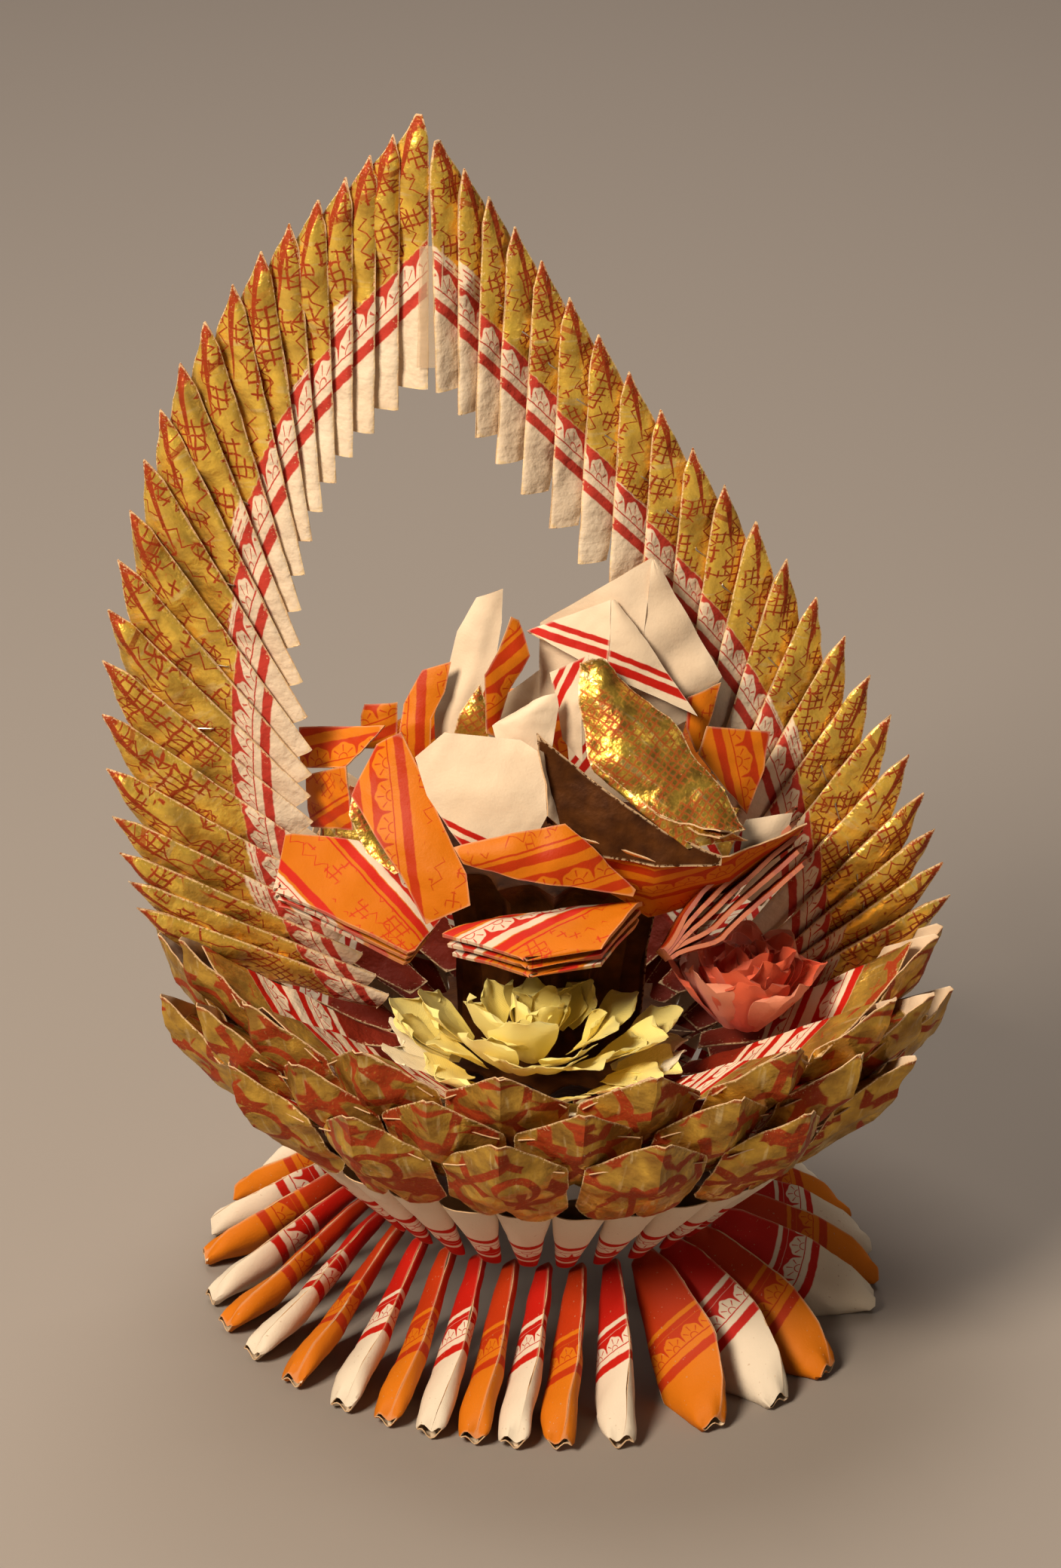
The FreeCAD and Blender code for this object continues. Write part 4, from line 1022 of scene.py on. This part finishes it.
def leaves(node, corner, outward, normal, outline, turn, start, seed, pleats=(5, 0, -5),
           materials=LEAF):
    """Folded pleats that are joined at the hinge and open like pages.  Those of the deep red leaf are
    printed on both sides."""
    z_axis = unit(normal)
    outward = np.array(outward, float)
    x_axis = unit(outward - z_axis * (outward @ z_axis))
    place = Place(corner, x_axis, np.cross(z_axis, x_axis), z_axis)
    piece = Piece("leaves_" + node.split("_")[-1])
    grid = slices([(y, x) for x, y in outline], 22, 19)
    y, x = grid[..., 0], grid[..., 1]
    reach = x / x.max()
    low, high = y.min(1, keepdims=True), y.max(1, keepdims=True)
    across = (y - low) / (high - low + 1e-6)
    v, u = turned(y, x, turn)
    for level, height in enumerate(pleats):
        shrink = 1 - 0.03 * level
        z = height * (0.2 + 0.8 * smooth(reach, 0, 0.3)) + 1.6 * np.sin(math.pi * reach)
        z = z - 1.2 * (across - 0.5) ** 2
        prints = stacked(u, v - start + level * 5)
        piece.sheet(place(x * shrink, y * shrink, z), prints, z_axis, thick=1.7, seed=seed + level * 0.13,
                    uneven=0.35, sides=(0, 0 if materials is DEEP_LEAF else 1, 0))
    piece.finish(materials, [node])


leaves("rose_leaves_left", (-46.9, -23.3, 186.7), (-0.9, -0.44, 0), (0.206, -0.45, 0.869),
       [(0, -12), (53, -31), (66, -7), (24, 34), (0, 14)], 70, 6, 0.11)
leaves("rose_leaves_front", (-3, -46.9, 186.5), (0, -1, 0), (-0.158, -0.239, 0.958),
       [(0, -18), (0, 30), (6, 38), (30, 21), (31, -8), (13, -40)], 60, -4, 0.47)
leaves("rose_leaves_right", (43, -45, 170.5), (0.69, 0.40, 0.53), (-0.687, 0.29, 0.626),
       [(0, -10), (0, 12), (72, 14), (78, 0), (70, -14)], 20, 26, 0.73, (6, 2, -2, -7, -12), DEEP_LEAF)


# -------- fabric flowers
def flower_petal(piece, origin, out, up, length, wide, cup, curl, ruffle, seed, side=0):
    """A thin petal: narrow at its base, wide and ruffled at its rim."""
    random = np.random.default_rng(int(seed * 10007))
    t = in_rows(12)
    v = in_columns(11, -1, 1)
    width = wide * (0.2 + 0.8 * np.sin(math.pi * np.clip(t * 0.66 + 0.02, 0, 1)))
    width = width * (1 - 0.3 * smooth(t, 0.8, 1.0))
    out, up = unit(out), unit(up)
    across = unit(np.cross(up, out))
    up = np.cross(out, across)
    phase = random.uniform(0, 6.28)
    rise = cup * (v * v) * width * 0.5 + curl * t * t * length
    rise = rise + ruffle * t ** 2 * np.sin(v * 4.2 + phase) + 0.5 * ruffle * t * np.sin(v * 9 + phase * 2)
    reach = length * t * (1 - 0.30 * v * v * t ** 3)
    points = (np.asarray(origin) + reach[..., None] * out + (v * width / 2)[..., None] * across
              + rise[..., None] * up)
    prints = stacked(v * width / 2, t * length)
    piece.sheet(points, prints, up, thick=0.18, seed=seed, uneven=0.25, scale=10, sides=(side, side, side))


def aim(heading, rise):
    """A direction: degrees from the front to the right, and degrees upwards."""
    h, r = math.radians(heading), math.radians(rise)
    return np.array([math.sin(h) * math.cos(r), -math.cos(h) * math.cos(r), math.sin(r)])


# Rings of petals, from the outside: count, radius, height, rise in degrees and length.
YELLOW_RINGS = ((11, 32, 13, 16, 29), (10, 24, 17, 30, 29), (12, 16, 20, 46, 29), (8, 7, 22, 64, 27))
# Rings of petals, from the outside: count, radius, rise in degrees and length.
RED_RINGS = ((8, 9, 48, 36), (7, 7, 60, 33), (5, 4, 74, 30), (4, 2, 86, 26))


def yellow_flower():
    """A flat skirt of pale leaves and four rings of petals, open at the back where the rose stands."""
    piece = Piece("yellow_petals")
    random = np.random.default_rng(11)
    low, high = np.array(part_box("yellow_flower"))
    foot = np.array([-5.0, -53.0, low[2] * 1000])
    for i in range(11):
        heading = -100 + i * 20 + random.uniform(-5, 5)
        out = aim(heading, 14 + random.uniform(-4, 6))
        base = foot + [0, 0, 8] + aim(heading, 0) * 30
        flower_petal(piece, base, out, (0, 0, 1), 32, 22, -0.12, 0.12, 1.3, random.uniform(), side=1)
    for ring, (count, radius, height, rise, length) in enumerate(YELLOW_RINGS):
        for i in range(count):
            spread = 230 if ring < 2 else 360
            heading = (i + 0.5 * (ring % 2) - count / 2) * spread / count + random.uniform(-8, 8)
            tilt = rise + random.uniform(-10, 14)
            base = foot + [0, 0, height] + aim(heading, 0) * radius + random.normal(0, 1.5, 3)
            out = aim(heading + random.uniform(-20, 20), tilt)
            size = length * random.uniform(0.85, 1.12)
            top = base[2] + size * math.sin(math.radians(tilt))
            if top > high[2] * 1000 + 3:
                size *= 0.7
            flower_petal(piece, base, out, -aim(heading, tilt - 90), size, size * 0.95,
                         random.uniform(0.1, 0.4), random.uniform(-0.1, 0.25), 0.7, random.uniform())
    piece.finish([silk("yellow_silk", (0.98, 0.84, 0.28), (0.94, 0.74, 0.14)),
                  silk("pale_silk", (0.86, 0.76, 0.54), (0.84, 0.73, 0.44))],
                 ["yellow_flower"])


def red_flower():
    """Four rings of petals that close towards the middle; every other outer one is paler."""
    piece = Piece("red_petals")
    random = np.random.default_rng(5)
    low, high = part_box("red_flower")
    low, high = np.array(low) * 1000 - AXIS, np.array(high) * 1000 - AXIS
    middle = (low + high) / 2
    for ring, (count, radius, rise, length) in enumerate(RED_RINGS):
        for i in range(count):
            heading = i * 360 / count + ring * 25 + random.uniform(-9, 9)
            tilt = rise + random.uniform(-5, 5)
            base = np.array([middle[0], middle[1], low[2] + 12 + ring * 2.5]) + aim(heading, 0) * radius
            out = aim(heading, tilt)
            flower_petal(piece, base, out, aim(heading, tilt - 90), length, length * 0.85, -0.35, -0.12,
                         1.6, random.uniform(), side=1 if ring == 0 and i % 2 else 0)
    piece.finish([silk("red_silk", (0.80, 0.12, 0.045), (0.66, 0.045, 0.02)),
                  silk("blush_silk", (0.82, 0.28, 0.16), (0.78, 0.11, 0.05))],
                 ["red_flower"])


yellow_flower()
red_flower()


# -------- camera, floor and light
# The camera, fitted to the view of the basket from the front.
SENSOR_HEIGHT = 36.0
FOCAL_PIXELS = 6649.9
PICTURE_HEIGHT = 2080
CAMERA_TILT = 24.81
CAMERA_ROLL = 1.97
CAMERA_DISTANCE = 1.9647
CAMERA_TARGET = (-0.01068, 0.22017)    # metres to the right of the bowl's axis, and upwards
# The floor, in metres: flat out to its reach, then a bend up to a wall.
FLOOR_REACH = 6.0
FLOOR_BEND = 1.5
FLOOR_SIDE = 7.0
WALL_TOP = 4.0


def add_camera():
    data = bpy.data.cameras.new("camera")
    data.sensor_fit = "VERTICAL"
    data.sensor_height = SENSOR_HEIGHT
    data.lens = FOCAL_PIXELS / PICTURE_HEIGHT * SENSOR_HEIGHT
    data.clip_end = 20
    camera = add("camera", data)
    tilt = math.radians(CAMERA_TILT)
    target = Vector((AXIS[0] * MM + CAMERA_TARGET[0], AXIS[1] * MM, CAMERA_TARGET[1]))
    camera.location = target - CAMERA_DISTANCE * Vector((0, math.cos(tilt), -math.sin(tilt)))
    roll = Matrix.Rotation(math.radians(CAMERA_ROLL), 4, "Z")
    camera.rotation_euler = (Matrix.Rotation(math.radians(90) - tilt, 4, "X") @ roll).to_euler()
    scene.camera = camera


def add_floor():
    """A wide table top that curves up far behind the basket."""
    line = [(-FLOOR_REACH, 0.0), (FLOOR_REACH, 0.0)]
    for i in range(1, 13):
        angle = math.radians(i * 7.5)
        line.append((FLOOR_REACH + FLOOR_BEND * math.sin(angle), FLOOR_BEND * (1 - math.cos(angle))))
    line.append((FLOOR_REACH + FLOOR_BEND, WALL_TOP))
    rows = [[(x, y, z) for x in (-FLOOR_SIDE, FLOOR_SIDE)] for y, z in line]
    mesh = bpy.data.meshes.new("floor")
    points = [p for row in rows for p in row]
    faces = [(2 * i, 2 * i + 1, 2 * i + 3, 2 * i + 2) for i in range(len(rows) - 1)]
    mesh.from_pydata(points, [], faces)
    mesh.polygons.foreach_set("use_smooth", np.ones(len(faces), bool))
    floor = add("floor", mesh)
    material = bpy.data.materials.new("floor_paper")
    material.use_nodes = True
    shader = material.node_tree.nodes["Principled BSDF"]
    shader.inputs["Base Color"].default_value = (0.285, 0.245, 0.215, 1)
    shader.inputs["Roughness"].default_value = 0.9
    mesh.materials.append(material)


def add_light(name, place, energy, size, colour, target=(0, 0, 0.2)):
    data = bpy.data.lights.new(name, "AREA")
    data.energy = energy
    data.size = size
    data.color = colour
    light = add(name, data)
    light.location = place
    light.rotation_euler = (Vector(target) - light.location).to_track_quat("-Z", "Y").to_euler()


add_camera()
add_floor()
add_light("key", (-1.05, -1.4, 1.7), 70, 0.6, (1.0, 0.87, 0.70))
add_light("fill", (1.6, -0.9, 0.7), 2, 0.8, (1.0, 0.86, 0.70))
add_light("top", (-0.3, 0.5, 1.9), 16, 0.9, (1.0, 0.93, 0.82))
add_light("backdrop", (0.0, 1.7, 2.2), 26, 1.4, (1.0, 0.92, 0.85), (0, 2.1, 0))
world = bpy.data.worlds.new("world")
world.use_nodes = True
background = world.node_tree.nodes["Background"]
background.inputs[0].default_value = (0.50, 0.45, 0.40, 1)
background.inputs[1].default_value = 0.10
scene.world = world
scene.view_settings.view_transform = "Standard"
